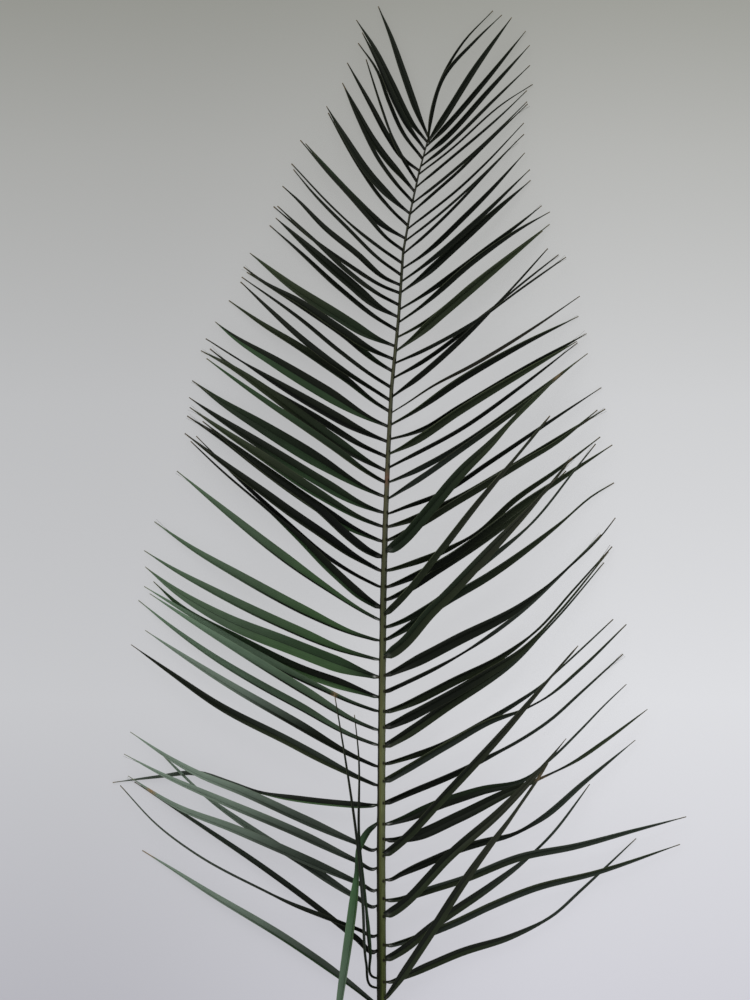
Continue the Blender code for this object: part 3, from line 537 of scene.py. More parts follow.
class ShaderTree:
    """A material's node tree with one Principled shader, and one method that adds any other node."""

    def __init__(self, name: str) -> None:
        """Start a material.

        Args:
            name: the material's name.
        """
        self.material = bpy.data.materials.new(name)
        self.material.use_nodes = True
        self.nodes = self.material.node_tree.nodes
        self.links = self.material.node_tree.links
        self.shader = self.nodes["Principled BSDF"]

    def feed(self, socket: bpy.types.NodeSocket, value: object) -> None:
        """Link a socket, or set it.

        Args:
            socket: the input socket.
            value: a Value, an output socket, a number or a tuple.
        """
        if isinstance(value, Value):
            value = value.socket
        if isinstance(value, bpy.types.NodeSocket):
            self.links.new(value, socket)
        else:
            socket.default_value = value

    def node(self, kind: str, settings: dict, inputs: dict) -> bpy.types.Node:
        """Add a node.

        Args:
            kind: the node's type.
            settings: the node's own settings, set first. stops holds a ramp's (place, colour) pairs.
            inputs: values or links of its sockets, by name or number.

        Returns:
            The node.
        """
        made = self.nodes.new(kind)
        for name, value in settings.items():
            if name == "stops":
                while len(made.color_ramp.elements) < len(value):
                    made.color_ramp.elements.new(1.0)
                for element, (place, colour) in zip(made.color_ramp.elements, value):
                    element.position = place
                    element.color = (*colour, 1.0)
            else:
                setattr(made, name, value)
        for key, value in inputs.items():
            self.feed(made.inputs[key], value)
        return made

    def attribute(self, name: str) -> bpy.types.Node:
        """Read one of the piece's own attributes."""
        return self.node("ShaderNodeAttribute", {"attribute_name": name}, {})

    def position(self) -> bpy.types.NodeSocket:
        """Read the surface's own place, in metres."""
        return self.node("ShaderNodeTexCoord", {}, {}).outputs["Object"]

    def parts(self, vector: bpy.types.NodeSocket) -> tuple:
        """Split a vector into its three numbers."""
        node = self.node("ShaderNodeSeparateXYZ", {}, {0: vector})
        return tuple(Value(self, output) for output in node.outputs)

    def join(self, x: object, y: object, z: object) -> bpy.types.NodeSocket:
        """Make a vector of three numbers."""
        return self.node("ShaderNodeCombineXYZ", {}, {0: x, 1: y, 2: z}).outputs[0]

    def noise(self, vector: object, scale: float, detail: float = 3.0, rough: float = 0.5) -> Value:
        """Add soft noise.

        Args:
            vector: where the noise is read.
            scale: how fine it is.
            detail: its octaves.
            rough: how strong the fine octaves are.

        Returns:
            The noise, from 0 to 1.
        """
        inputs = {"Vector": vector, "Scale": scale, "Detail": detail, "Roughness": rough}
        return Value(self, self.node("ShaderNodeTexNoise", {}, inputs).outputs[0])

    def mix(self, share: object, first: object, second: object, blend: str = "MIX") -> bpy.types.NodeSocket:
        """Mix two colours.

        Args:
            share: the second colour's share.
            first: a colour or a link.
            second: a colour or a link.
            blend: the way of mixing.

        Returns:
            The mixed colour.
        """
        settings = {"data_type": "RGBA", "blend_type": blend}
        return self.node("ShaderNodeMix", settings, {0: share, 6: first, 7: second}).outputs[2]

    def ramp(self, stops: tuple, share: object) -> bpy.types.NodeSocket:
        """Read a colour from stops of (place, colour)."""
        return self.node("ShaderNodeValToRGB", {"stops": stops}, {0: share}).outputs[0]

    def scale(self, colour: object, factor: object) -> bpy.types.NodeSocket:
        """Make a colour darker or lighter by a factor."""
        node = self.node("ShaderNodeVectorMath", {"operation": "SCALE"}, {0: colour, "Scale": factor})
        return node.outputs[0]

    def skin(self, colour: object, roughness: object, reflection: float) -> None:
        """Give the shader its colour, its roughness and the strength of its reflections.

        Args:
            colour: a link.
            roughness: a Value or a number.
            reflection: the shader's specular level.
        """
        self.feed(self.shader.inputs["Base Color"], colour)
        self.feed(self.shader.inputs["Roughness"], roughness)
        self.shader.inputs["Specular IOR Level"].default_value = reflection

    def bump(self, height: Value, distance: float, strength: float) -> None:
        """Let a height in metres times distance shape the shader's normal."""
        node = self.node("ShaderNodeBump", {}, {"Height": height, "Distance": distance, "Strength": strength})
        self.feed(self.shader.inputs["Normal"], node.outputs["Normal"])


@dataclass(frozen=True)
class LeafFinish:
    """Preserved leaf: two wings with colours partly their own and partly painted light and shade, fine veins
    along them, dry flecks, a dark keel line that is painted shade in the fold's crease, a pale foot that
    is partly a painted glint, and a dull sheen.

    seam, rim and stripe are places across the blade at which one look goes over into another, each
    as the start and end of that change.
    """

    dry: tuple = (0.30, 0.20, 0.10, 1.0)
    # The pale foot's colour: partly a pale callus, partly a painted glint
    pale: tuple = (0.62, 0.62, 0.56, 1.0)
    keel_shade_tint: tuple = (0.004, 0.006, 0.004, 1.0)
    rim_tint: tuple = (0.10, 0.11, 0.05, 1.0)
    seam: tuple = (0.485, 0.515)
    rim: tuple = (0.455, 0.495)
    stripe: tuple = (0.1, 0.32)
    dry_edge: tuple = (0.1, 0.9)
    keel_half_width: float = 0.045
    keel_shade_strength: float = 0.55
    rim_strength: float = 0.5
    veins: int = 11
    vein_shade: float = 0.16
    vein_relief: float = 0.00006
    base_shade: float = 0.62
    blotch_scale: float = 55.0
    blotch_shade: float = 0.42
    streak_spacing: tuple = (5.0, 7.0, 31.0)
    streak_scale: float = 1.6
    streak_shade: float = 0.36
    patch_scale: float = 420.0
    grain_scale: float = 2600.0
    roughness: float = 0.46
    streak_roughness: float = 0.16
    foot_gloss: float = 0.12
    reflection: float = 0.15

    def make(self) -> bpy.types.Material:
        """Build the material.

        Returns:
            The material of the blades.
        """
        tree = ShaderTree("preserved_leaf")
        blade = tree.node("ShaderNodeUVMap", {"uv_map": "blade"}, {}).outputs[0]
        share, across, _ = tree.parts(blade)
        dry, pale_foot_and_glint, seed = tree.parts(tree.attribute("marks").outputs["Vector"])
        position = tree.position()

        broad = tree.attribute("broad_tint").outputs["Color"]
        steep = tree.attribute("steep_tint").outputs["Color"]
        # Each wing's colour is partly its own and partly painted light and shade, as the wing faces the light
        colour = tree.mix(across.step(*self.seam), steep, broad)

        blotches = tree.noise(position, self.blotch_scale, 3.0, 0.55)
        lengthways, sideways, apart = self.streak_spacing
        streak_place = tree.join(share * lengthways, across * sideways, seed * apart)
        streaks = tree.noise(streak_place, self.streak_scale, 3.0, 0.6)
        veins = (across * (self.veins * math.tau)).sine()
        shade = self.base_shade + blotches * self.blotch_shade + streaks * self.streak_shade
        shaded = tree.scale(colour, shade + veins * self.vein_shade * streaks)

        from_keel = (across - 0.5).size()
        keel = 1.0 - from_keel.step(0.0, self.keel_half_width)
        # Painted shade: the keel's crease is darkened with a near-black tint
        tinted = tree.mix(keel * self.keel_shade_strength, shaded, self.keel_shade_tint)
        rim = from_keel.step(*self.rim) * streaks * self.rim_strength
        rimmed = tree.mix(rim, tinted, self.rim_tint, "ADD")

        patches = tree.noise(position, self.patch_scale, 2.0, 0.6)
        dried = tree.mix((dry * (0.55 + patches * 0.9)).step(*self.dry_edge), rimmed, self.dry)
        # The pale foot beside the keel: partly a pale callus, partly a painted glint
        finished = tree.mix(pale_foot_and_glint * (1.0 - from_keel.step(*self.stripe)), dried, self.pale)

        rough = self.roughness + streaks * self.streak_roughness - pale_foot_and_glint * self.foot_gloss
        tree.skin(finished, rough, self.reflection)
        grain = tree.noise(position, self.grain_scale, 2.0, 0.5)
        tree.bump(veins * 0.5 + streaks * 1.6 + grain * 0.5 - keel * 2.0, self.vein_relief, 0.7)
        return tree.material


@dataclass(frozen=True)
class StalkFinish:
    """The midrib's skin: dark left margin, brown-olive, green on the right, stained at each leaflet.

    The edges are places across the skin, or strengths of noise, at which one look goes over into
    another, each as the start and end of that change.
    """

    brown: tuple = (
        (0.0, (0.030, 0.040, 0.006)), (0.16, (0.022, 0.031, 0.004)), (0.28, (0.100, 0.108, 0.032)),
        (0.36, (0.132, 0.136, 0.050)), (0.55, (0.058, 0.062, 0.026)), (0.64, (0.090, 0.086, 0.044)),
        (0.85, (0.042, 0.045, 0.024)), (1.0, (0.045, 0.045, 0.034)),
    )
    green: tuple = (
        (0.0, (0.070, 0.086, 0.022)), (0.16, (0.068, 0.084, 0.022)), (0.34, (0.156, 0.172, 0.076)),
        (0.55, (0.072, 0.078, 0.042)), (0.64, (0.100, 0.100, 0.062)), (0.85, (0.052, 0.055, 0.034)),
        (1.0, (0.050, 0.050, 0.040)),
    )
    margin: tuple = (0.010, 0.0085, 0.004, 1.0)
    stain: tuple = (0.011, 0.008, 0.003, 1.0)
    blush: tuple = (0.200, 0.095, 0.062, 1.0)
    rim: tuple = (0.030, 0.034, 0.020, 1.0)
    speck: tuple = (0.035, 0.028, 0.014, 1.0)
    green_edge: tuple = (0.02, 0.42)
    margin_edge: tuple = (-0.24, 0.12)
    rim_edge: tuple = (0.84, 0.97)
    speck_edge: tuple = (0.62, 0.72)
    stain_edge: tuple = (0.12, 0.7)
    margin_strength: float = 0.92
    rim_strength: float = 0.6
    speck_strength: float = 0.55
    stain_strength: float = 0.94
    fibre_scale: tuple = (900.0, 26.0)
    cloud_scale: float = 60.0
    speck_scale: float = 700.0
    base_shade: float = 0.42
    fibre_shade: float = 0.7
    cloud_shade: float = 0.45
    roughness: float = 0.45
    fibre_roughness: float = 0.22
    reflection: float = 0.12
    relief: float = 0.00025

    def make(self) -> bpy.types.Material:
        """Build the material.

        Returns:
            The material of the midrib and stalk.
        """
        tree = ShaderTree("stalk_skin")
        height, stain, across = tree.parts(tree.attribute("marks").outputs["Vector"])
        blush = Value(tree, tree.attribute("blush").outputs["Fac"])
        position = tree.position()
        x, y, z = tree.parts(position)
        fine, coarse = self.fibre_scale
        fibres = tree.noise(tree.join(x * fine, y * coarse, z * fine), 1.0, 3.0, 0.6)
        clouds = tree.noise(position, self.cloud_scale, 3.0, 0.5)

        brown = tree.ramp(self.brown, height)
        green = tree.ramp(self.green, height)
        strips = tree.mix((across + fibres * 0.4).step(*self.green_edge), brown, green)
        shade = self.base_shade + fibres * self.fibre_shade + clouds * self.cloud_shade
        shaded = tree.scale(strips, shade)
        blushed = tree.mix(blush * (0.35 + fibres * 0.6), shaded, self.blush)
        margin = 1.0 - (across + height * 1.08 + fibres * 0.2).step(*self.margin_edge)
        edged = tree.mix(margin * self.margin_strength, blushed, self.margin)
        rim = (across + height * 0.1).step(*self.rim_edge) * self.rim_strength
        rimmed = tree.mix(rim, edged, self.rim)
        flecked = tree.noise(position, self.speck_scale, 2.0, 0.7)
        specks = flecked.step(*self.speck_edge) * self.speck_strength
        speckled = tree.mix(specks, rimmed, self.speck)
        stains = (stain * (0.7 + clouds * 0.7)).step(*self.stain_edge) * self.stain_strength
        stained = tree.mix(stains, speckled, self.stain)
        tree.skin(stained, self.roughness + fibres * self.fibre_roughness, self.reflection)
        tree.bump(fibres + clouds * 0.6 - specks * 0.8, self.relief, 0.8)
        return tree.material


@dataclass(frozen=True)
class CutFinish:
    """The stalk's cut end: pale pith with the darker ends of its fibre bundles."""

    pith: tuple = (0.42, 0.34, 0.20, 1.0)
    bundle: tuple = (0.13, 0.085, 0.04, 1.0)
    bundle_edge: tuple = (0.15, 0.4)
    bundle_scale: float = 1300.0
    grain_scale: float = 3000.0
    roughness: float = 0.75
    reflection: float = 0.5
    relief: float = 0.0001

    def make(self) -> bpy.types.Material:
        """Build the material.

        Returns:
            The material of the cut face.
        """
        tree = ShaderTree("cut_pith")
        position = tree.position()
        cells = tree.node("ShaderNodeTexVoronoi", {}, {"Vector": position, "Scale": self.bundle_scale})
        dots = 1.0 - Value(tree, cells.outputs["Distance"]).step(*self.bundle_edge)
        grain = tree.noise(position, self.grain_scale, 2.0, 0.6)
        dotted = tree.mix(dots * (0.5 + grain * 0.5), self.pith, self.bundle)
        tree.skin(dotted, self.roughness + grain * 0.15, self.reflection)
        tree.bump(grain - dots, self.relief, 0.8)
        return tree.material


@dataclass(frozen=True)
class FootFinish:
    """The hard, dark swelling where a leaflet joins the midrib."""

    dark: tuple = (0.012, 0.010, 0.006, 1.0)
    worn: tuple = (0.075, 0.058, 0.026, 1.0)
    wear_scale: float = 500.0
    wear_edge: tuple = (0.45, 0.75)
    roughness: float = 0.3
    reflection: float = 0.35
    relief: float = 0.0002

    def make(self) -> bpy.types.Material:
        """Build the material.

        Returns:
            The material of the leaflets' feet.
        """
        tree = ShaderTree("leaflet_foot")
        wear = tree.noise(tree.position(), self.wear_scale, 3.0, 0.6)
        colour = tree.mix(wear.step(*self.wear_edge), self.dark, self.worn)
        tree.skin(colour, self.roughness + wear * 0.3, self.reflection)
        tree.bump(wear, self.relief, 0.7)
        return tree.material


@dataclass(frozen=True)
class FibreFinish:
    """Dry, straw-coloured fibre."""

    straw: tuple = (0.150, 0.135, 0.095, 1.0)
    grey: tuple = (0.060, 0.062, 0.048, 1.0)
    wear_scale: float = 90.0
    wear_edge: tuple = (0.35, 0.65)
    roughness: float = 0.8
    reflection: float = 0.2

    def make(self) -> bpy.types.Material:
        """Build the material.

        Returns:
            The material of the split fibres.
        """
        tree = ShaderTree("split_fibre")
        wear = tree.noise(tree.position(), self.wear_scale, 2.0, 0.5)
        colour = tree.mix(wear.step(*self.wear_edge), self.grey, self.straw)
        tree.skin(colour, self.roughness, self.reflection)
        return tree.material


@dataclass(frozen=True)
class SurfaceFinish:
    """The pale surface that the frond lies on, with painted light: its colour is dim and warm far off and
    brightest low down on the right, as the light falls, and it glows, though it is no lamp, to soften
    the shadows on it.

    top is where the ramp of stops begins, in metres up the view, and lean how far the painted light
    leans to the right. matt is the share of the colour that reflects light, and glow the light that
    the surface gives.
    """

    stops: tuple = (
        (0.0, (0.222, 0.223, 0.204)),
        (0.15, (0.290, 0.291, 0.280)),
        (0.40, (0.378, 0.380, 0.384)),
        (0.70, (0.428, 0.430, 0.442)),
        (1.0, (0.360, 0.358, 0.385)),
    )
    top: float = 0.566
    lean: float = 0.25
    lean_edge: tuple = (-0.26, 0.3)
    matt: float = 0.45
    glow: float = 1.2
    roughness: float = 0.9
    reflection: float = 0.05

    def make(self) -> bpy.types.Material:
        """Build the material.

        Returns:
            The material of the surface.
        """
        tree = ShaderTree("pale_surface")
        x, y, _ = tree.parts(tree.position())
        way = self.top - y
        colour = tree.ramp(self.stops, way)
        # Painted light: darker far off and brighter to the right, as the light falls
        side = (x + way * 0.1).step(*self.lean_edge)
        light = 1.0 - self.lean / 2.0 + side * self.lean * (way * 0.6 + 0.6)
        painted_light = tree.scale(colour, light)
        tree.skin(tree.scale(painted_light, self.matt), self.roughness, self.reflection)
        # Painted light: the surface glows, though it is no lamp, to soften the shadows on it
        tree.feed(tree.shader.inputs["Emission Color"], painted_light)
        tree.shader.inputs["Emission Strength"].default_value = self.glow
        return tree.material


def finish_mesh(shape: bmesh.types.BMesh, name: str, materials: list) -> bpy.types.Object:
    """Turn a bmesh into a smooth-shaded piece with sharp creases.

    Args:
        shape: the finished bmesh, which is freed.
        name: the piece's name.
        materials: its materials, in order.

    Returns:
        The piece, at the origin.
    """
    for face in shape.faces:
        face.smooth = True
    for edge in shape.edges:
        if len(edge.link_faces) == 2 and edge.calc_face_angle(0.0) > CREASE:
            edge.smooth = False
    mesh = bpy.data.meshes.new(name)
    shape.to_mesh(mesh)
    shape.free()
    for material in materials:
        mesh.materials.append(material)
    piece = bpy.data.objects.new(name, mesh)
    bpy.context.scene.collection.objects.link(piece)
    return piece


class StalkPart:
    """A sub-assembly that takes its finish from the stalk."""

    def dress(self, piece: bpy.types.Object) -> None:
        """Ride on the frond's body and stand for its solid."""
        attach(piece, "root")
        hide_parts("palm_frond")


class LeafPart:
    """A sub-assembly that takes its finish from the leaf."""

    def dress(self, piece: bpy.types.Object) -> None:
        """Ride on the frond's body and stand for its solid."""
        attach(piece, "root")
        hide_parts("palm_frond")


@dataclass
class Midrib(StalkPart):
    """The tapering midrib with its bare stalk, striped, ridged and a little swollen at each leaflet.

    Sizes are in millimetres. right_stain and left_stain say how far round each side the stains
    begin, as a cosine, and over how much of it they grow.
    """

    rows: tuple = RACHIS
    flat_end: float = 1064.0
    top: float = 137.0
    cut: float = 1130.0
    end: float = 135.0
    arch: float = 17.0
    top_rise: float = 4.0
    sides: int = 24
    step: float = 1.5
    ridge: float = 0.035
    ridges: int = 4
    full_width: float = 8.0
    swelling: float = 0.3
    swelling_reach: float = 3.0
    cut_rim: float = 0.3
    cut_hollow: float = 0.15
    stain_reach: float = 1.9
    stain_drop: float = 1.6
    right_stain: tuple = (0.02, 0.5)
    left_stain: tuple = (0.4, 0.4)
    left_strength: float = 0.8
    least_stain: float = 0.25
    unstained_from: float = 1012.0
    blush_middle: float = 478.0
    blush_reach: float = 7.0

    def x(self, y: float) -> float:
        """The midrib's middle at survey height y."""
        return between(tuple((rib.y, rib.x) for rib in self.rows), y)

    def width(self, y: float) -> float:
        """The midrib's width at survey height y."""
        return between(tuple((rib.y, rib.width) for rib in self.rows), y)

    def fullness(self, y: float) -> float:
        """How near the midrib is to its full width at survey height y, up to 1."""
        return min(self.width(y) / self.full_width, 1.0)

    def z(self, y: float) -> float:
        """The height of the midrib's middle: flat along the stalk, then a low arch."""
        way = clamp((self.flat_end - y) / (self.flat_end - self.top))
        low = self.rows[-1].width / 2.0
        return low + self.arch * math.sin(math.pi * way) ** 2 + self.top_rise * way * way

    def nearness(self, y: float, side: Side, reach: float) -> float:
        """How near a leaflet's root is on one side, from 0 to 1.

        Args:
            y: the survey height.
            side: the side of the midrib.
            reach: the distance at which the effect has faded.

        Returns:
            1 at a root, falling to 0 away from it.
        """
        leaflets = LEFT if side is Side.LEFT else RIGHT
        gap = min(abs(leaflet.root - y) for leaflet in leaflets)
        return bell(gap, reach)

    def place(self, y: float, angle: float) -> Vector:
        """The skin's point at survey height y and at an angle round the midrib, from +X through +Z."""
        side = Side.RIGHT if math.cos(angle) > 0.0 else Side.LEFT
        radius = self.width(y) / 2.0 * (1.0 - self.ridge * (1.0 - math.cos(self.ridges * angle)))
        near = self.nearness(y, side, self.swelling_reach) * math.cos(angle) ** 2
        radius += self.swelling * near * self.fullness(y)
        if y >= self.flat_end:
            radius = min(radius, self.width(y) / 2.0)
        return in_row(self.x(y) + radius * math.cos(angle), y, self.z(y) + radius * math.sin(angle))

    def build(self) -> bpy.types.Object:
        """Extrude the skin ring by ring from the cut to the top.

        Returns:
            The midrib.
        """
        shape = bmesh.new()
        angle_of = shape.verts.layers.float.new("angle")
        marks = shape.verts.layers.float_vector.new("marks")
        blush = shape.verts.layers.float.new("blush")
        ring = bmesh.ops.create_circle(shape, segments=self.sides, radius=1.0)["verts"]
        for vert in ring:
            vert[angle_of] = math.atan2(vert.co.y, vert.co.x)
        edges = shape.edges[:]
        stops = [self.cut]
        while stops[-1] - self.step > self.end:
            stops.append(stops[-1] - self.step)
        stops.append(self.end)
        for number, y in enumerate(stops):
            if number:
                grown = bmesh.ops.extrude_edge_only(shape, edges=edges)["geom"]
                edges = [item for item in grown if isinstance(item, bmesh.types.BMEdge)]
                ring = [item for item in grown if isinstance(item, bmesh.types.BMVert)]
            for vert in ring:
                angle = vert[angle_of]
                vert.co = self.place(y, angle)
                vert[marks] = self.skin_marks(y, angle)
                vert[blush] = bell(y - self.blush_middle, self.blush_reach)
        bmesh.ops.contextual_create(shape, geom=edges)
        rim = [edge for edge in shape.edges if edge.is_boundary]
        cap = bmesh.ops.contextual_create(shape, geom=rim)["faces"]
        rim_width, hollow = self.cut_rim * MM, self.cut_hollow * MM
        bmesh.ops.inset_individual(shape, faces=cap, thickness=rim_width, depth=hollow)
        bmesh.ops.recalc_face_normals(shape, faces=shape.faces[:])
        for face in cap:
            face.material_index = 1
        return finish_mesh(shape, "midrib", [StalkFinish().make(), CutFinish().make()])

    def skin_marks(self, y: float, angle: float) -> tuple:
        """The skin's way up the frond, its stain beside the leaflets' roots, and its place across.

        Args:
            y: the survey height.
            angle: the angle round the midrib.

        Returns:
            The three numbers that the stalk's finish reads.
        """
        way = (self.cut - y) / (self.cut - self.end)
        start, growth = self.right_stain
        right = self.nearness(y + self.stain_drop, Side.RIGHT, self.stain_reach)
        right *= ease((math.cos(angle) - start) / growth)
        start, growth = self.left_stain
        left = self.nearness(y + self.stain_drop, Side.LEFT, self.stain_reach)
        left *= ease((-math.cos(angle) - start) / growth) * self.left_strength
        if y > self.unstained_from:
            right = left = 0.0
        return way, max(right, left) * max(math.sin(angle), self.least_stain), math.cos(angle)


@dataclass
class LeafRow(LeafPart):
    """One side's leaflets: thin folded blades, each along its own course.

    Sizes are in millimetres. A pair of shares or survey heights says where a change starts and how
    much further it goes on.
    """

    side: Side
    leaflets: tuple
    midrib: Midrib
    name: str
    seed: int

    # How a leaflet leaves the midrib
    opens: float = 0.16
    trim: float = 0.55
    foot: float = 2.1
    foot_growth: float = 0.2
    sunk: float = 0.9
    drops: tuple = ((450.0, 1.5), (560.0, 0.6))
    hooked_from: float = 860.0
    hook_slope: float = 0.5
    hook_reach: float = 14.0
    heel_reach: float = 4.0
    rise: float = -0.6
    late_rise: float = 0.0
    late: tuple = (780.0, 80.0)
    neck: float = 2.2
    neck_share: float = 0.6
    neck_reach: float = 5.0
    neck_power: float = 0.6
    necked_from: float = 480.0

    # Its colours along the way: painted shade towards the midrib and where a blade turns on edge,
    # and a foot that is partly pale and partly a painted glint
    shades: tuple = (0.93, 1.07)
    dark_from: float = 0.03
    dark_until: float = 0.14
    darkness: float = 0.2
    outer_from: tuple = (0.25, 0.4)
    steep_outer_from: tuple = (0.38, 0.3)
    steep_outer_shade: float = 0.9
    paler_from: tuple = (0.5, 0.5)
    paler: float = 0.45
    turned_shade: float = 0.7
    turned_spread: float = 0.6
    dry_from: tuple = (0.93, 0.07)
    tip_dryness: float = 0.45
    marked_foot: float = 0.5
    plain_foot: float = 0.15
    glint_middle: float = 3.4
    glint_reach: float = 2.0

    # Its width, folds and turns
    thickness: float = 0.55
    tip_width: float = 0.6
    foot_fold: float = math.radians(52)
    least_fold: float = math.radians(12)
    most_fold: float = math.radians(35)
    most_closing: float = 2.2
    taper_start: float = 0.42
    taper_power: float = 1.8
    pinch_depth: float = 0.55
    pinch_spread: float = 0.09
    wing_bow: float = 0.10
    keel_round: float = 0.012
    keel_drop: float = 0.11
    sway: float = 0.07
    sway_waves: float = 1.4
    sway_from: float = 0.2

    # Its height
    layers: int = 3
    layer_lift: float = 4.0
    layer_tip: float = 3.5
    lift: float = 5.0
    raised_tip: float = 0.8
    clearance: float = 0.1

    # Its mesh
    wing_parts: int = 8
    part_length: float = 5.5
    least_parts: int = 18
    measured_parts: int = 12
    spacing: tuple = (0.3, 0.7)
    tones: random.Random = field(init=False)

    def __post_init__(self) -> None:
        """Seed this row's draws."""
        self.tones = random.Random(self.seed)

    def opened_width(self, leaflet: Leaflet) -> float:
        """The leaflet's full width when opened out flat."""
        grown = between(FULL_WIDTHS, leaflet.root)
        return min(max(grown, leaflet.seen), leaflet.seen * self.most_closing)

    def seen_at(self, leaflet: Leaflet, share: float) -> float:
        """How wide the blade looks from above at a share of its length.

        Args:
            leaflet: the leaflet.
            share: the share of its length.

        Returns:
            The width: a narrow foot, a broad middle and a long point.
        """
        foot = leaflet.foot or self.foot + self.foot_growth * self.midrib.width(leaflet.root)
        grown = foot + (leaflet.seen - foot) * ease(share / (leaflet.opens or self.opens))
        start = self.taper_start * leaflet.thread
        fall = 1.0 - clamp((share - start) / (leaflet.thread - start)) ** self.taper_power
        width = max((grown - self.trim) * fall, self.tip_width)
        if leaflet.thread < 1.0:
            late = max((share - leaflet.thread) / (1.0 - leaflet.thread), 0.0)
            width = max(width, leaflet.thin + (self.tip_width - leaflet.thin) * late * late)
        if leaflet.pinch > 0.0:
            width *= 1.0 - self.pinch_depth * bell(share - leaflet.pinch, self.pinch_spread)
        return width

    def fold_and_turn(self, leaflet: Leaflet, share: float) -> tuple:
        """How far the wings fold up at a share of the length, and how far the blade turns on its keel."""
        full = self.opened_width(leaflet)
        fold = min(max(math.acos(math.sqrt(leaflet.seen / full)), self.least_fold), self.most_fold)
        opening = ease(share / (leaflet.opens or self.opens))
        turn = math.acos(min(leaflet.seen / (full * math.cos(fold)), 1.0)) * opening
        fold = self.foot_fold + (fold - self.foot_fold) * opening
        return fold, turn * self.side.value

    def section_point(self, half: float, fold: float, turn: float, keel: float, place: float) -> tuple:
        """A point of the blade's cross-section.

        Args:
            half: half the blade's opened width.
            fold: how far the wings fold up.
            turn: how far the blade turns on its keel.
            keel: how far the keel lies off the middle, as a share of half.
            place: from -1 at one edge through 0 at the keel to 1 at the other.

        Returns:
            The point's (across, up).
        """
        wing = half * (1.0 - keel if place > 0.0 else 1.0 + keel)
        out = abs(place)
        x = math.cos(fold) * wing * place
        z = math.sin(fold) * wing * (math.sqrt(out * out + self.keel_round) - self.keel_drop)
        z += self.wing_bow * wing * math.sin(math.pi * out)
        return x * math.cos(turn) - z * math.sin(turn), x * math.sin(turn) + z * math.cos(turn)

    @staticmethod
    def change_at(place: float, change: tuple) -> float:
        """How far a change has gone on at a place, from 0 to 1, given its start and its reach."""
        start, reach = change
        return ease((place - start) / reach)

    def tints(self, leaflet: Leaflet, share: float, shade: float) -> tuple:
        """The colours of the broad and the steep wing at a share of the length, with painted light and shade.

        Each wing's colour is partly its own and partly painted light and shade as the wing faces the light.
        The blades are darkened towards the midrib and where they turn on edge: painted shade.

        Args:
            leaflet: the leaflet.
            share: the share of its length.
            shade: this leaflet's own lightness.

        Returns:
            Two colours with alpha.
        """
        outwards = self.change_at(share, self.outer_from)
        inwards = 1.0 - self.change_at(share, (self.dark_from, self.dark_until))
        outer = leaflet.outer or leaflet.tone
        broad = Vector(leaflet.tone.value).lerp(Vector(outer.value), outwards) * shade
        steep = Vector(leaflet.steep.value)
        if leaflet.outer:
            late = self.change_at(share, self.steep_outer_from)
            steep = steep.lerp(Vector(outer.value) * self.steep_outer_shade, late)
        dark = Vector(Tone.BLACK.value)
        paler = 1.0 + self.paler * self.change_at(share, self.paler_from)
        # Painted shade: the blades darken towards the midrib
        broad = broad.lerp(dark, inwards * self.darkness) * paler
        steep = (steep * shade).lerp(dark, inwards * self.darkness) * paler
        # Painted shade where the blade turns on edge
        if leaflet.pinch > 0.0:
            turned = bell(share - leaflet.pinch, self.pinch_spread * self.turned_spread)
            broad = broad.lerp(dark, turned * self.turned_shade)
            steep = steep.lerp(dark, turned * self.turned_shade)
        return (*broad, 1.0), (*steep, 1.0)

    def dryness(self, x: float, y: float, share: float) -> float:
        """How dry the blade is at a survey point: near its tip, and in the flecks."""
        dry = self.tip_dryness * self.change_at(share, self.dry_from)
        for fleck in FLECKS:
            gap = math.hypot(x - fleck.x, y - fleck.y)
            dry = max(dry, fleck.strength * bell(gap, fleck.reach))
        return dry

    def slope(self, leaflet: Leaflet) -> float:
        """How far the leaflet's first run goes down the survey for each millimetre to the right."""
        first = leaflet.course[0]
        return (first[1] - leaflet.root) / (first[0] - self.midrib.x(leaflet.root))

    def hooked(self, leaflet: Leaflet) -> bool:
        """Whether the leaflet leaves the midrib in a small hook, and not in a straight run."""
        reach = (leaflet.course[0][0] - self.midrib.x(leaflet.root)) * self.side.value
        level = abs(self.slope(leaflet)) < self.hook_slope
        return leaflet.root >= self.hooked_from and level and reach > self.hook_reach

    def course(self, leaflet: Leaflet, shares: list) -> list:
        """The leaflet's course as survey points: out of the midrib, round a low heel, and away.

        Args:
            leaflet: the leaflet.
            shares: the shares of its length at which points are wanted.

        Returns:
            The points.
        """
        middle = self.midrib.x(leaflet.root)
        if not self.hooked(leaflet):
            root = (middle, leaflet.root + between(self.drops, leaflet.root))
            return along(smooth_course([root] + list(leaflet.course)), shares)
        heel_x = middle + self.side.value * (self.midrib.width(leaflet.root) / 2.0 + self.heel_reach)
        heel = (heel_x, leaflet.root + self.slope(leaflet) * (heel_x - middle) + self.sunk)
        rise = self.rise * (1.0 + self.late_rise * self.change_at(leaflet.root, self.late))
        root = (middle, heel[1] - rise)
        return along(smooth_course([root, heel] + list(leaflet.course)), shares)

    def height(self, leaflet: Leaflet, layer: int, share: float) -> float:
        """How high the blade's keel lies at a share of its length."""
        low = self.midrib.z(leaflet.root)
        tip = max(layer * self.layer_tip + leaflet.raised * self.raised_tip, 0.0)
        lift = self.lift + layer * self.layer_lift + leaflet.raised
        return low + (tip - low) * share + lift * 4.0 * share * (1.0 - share)

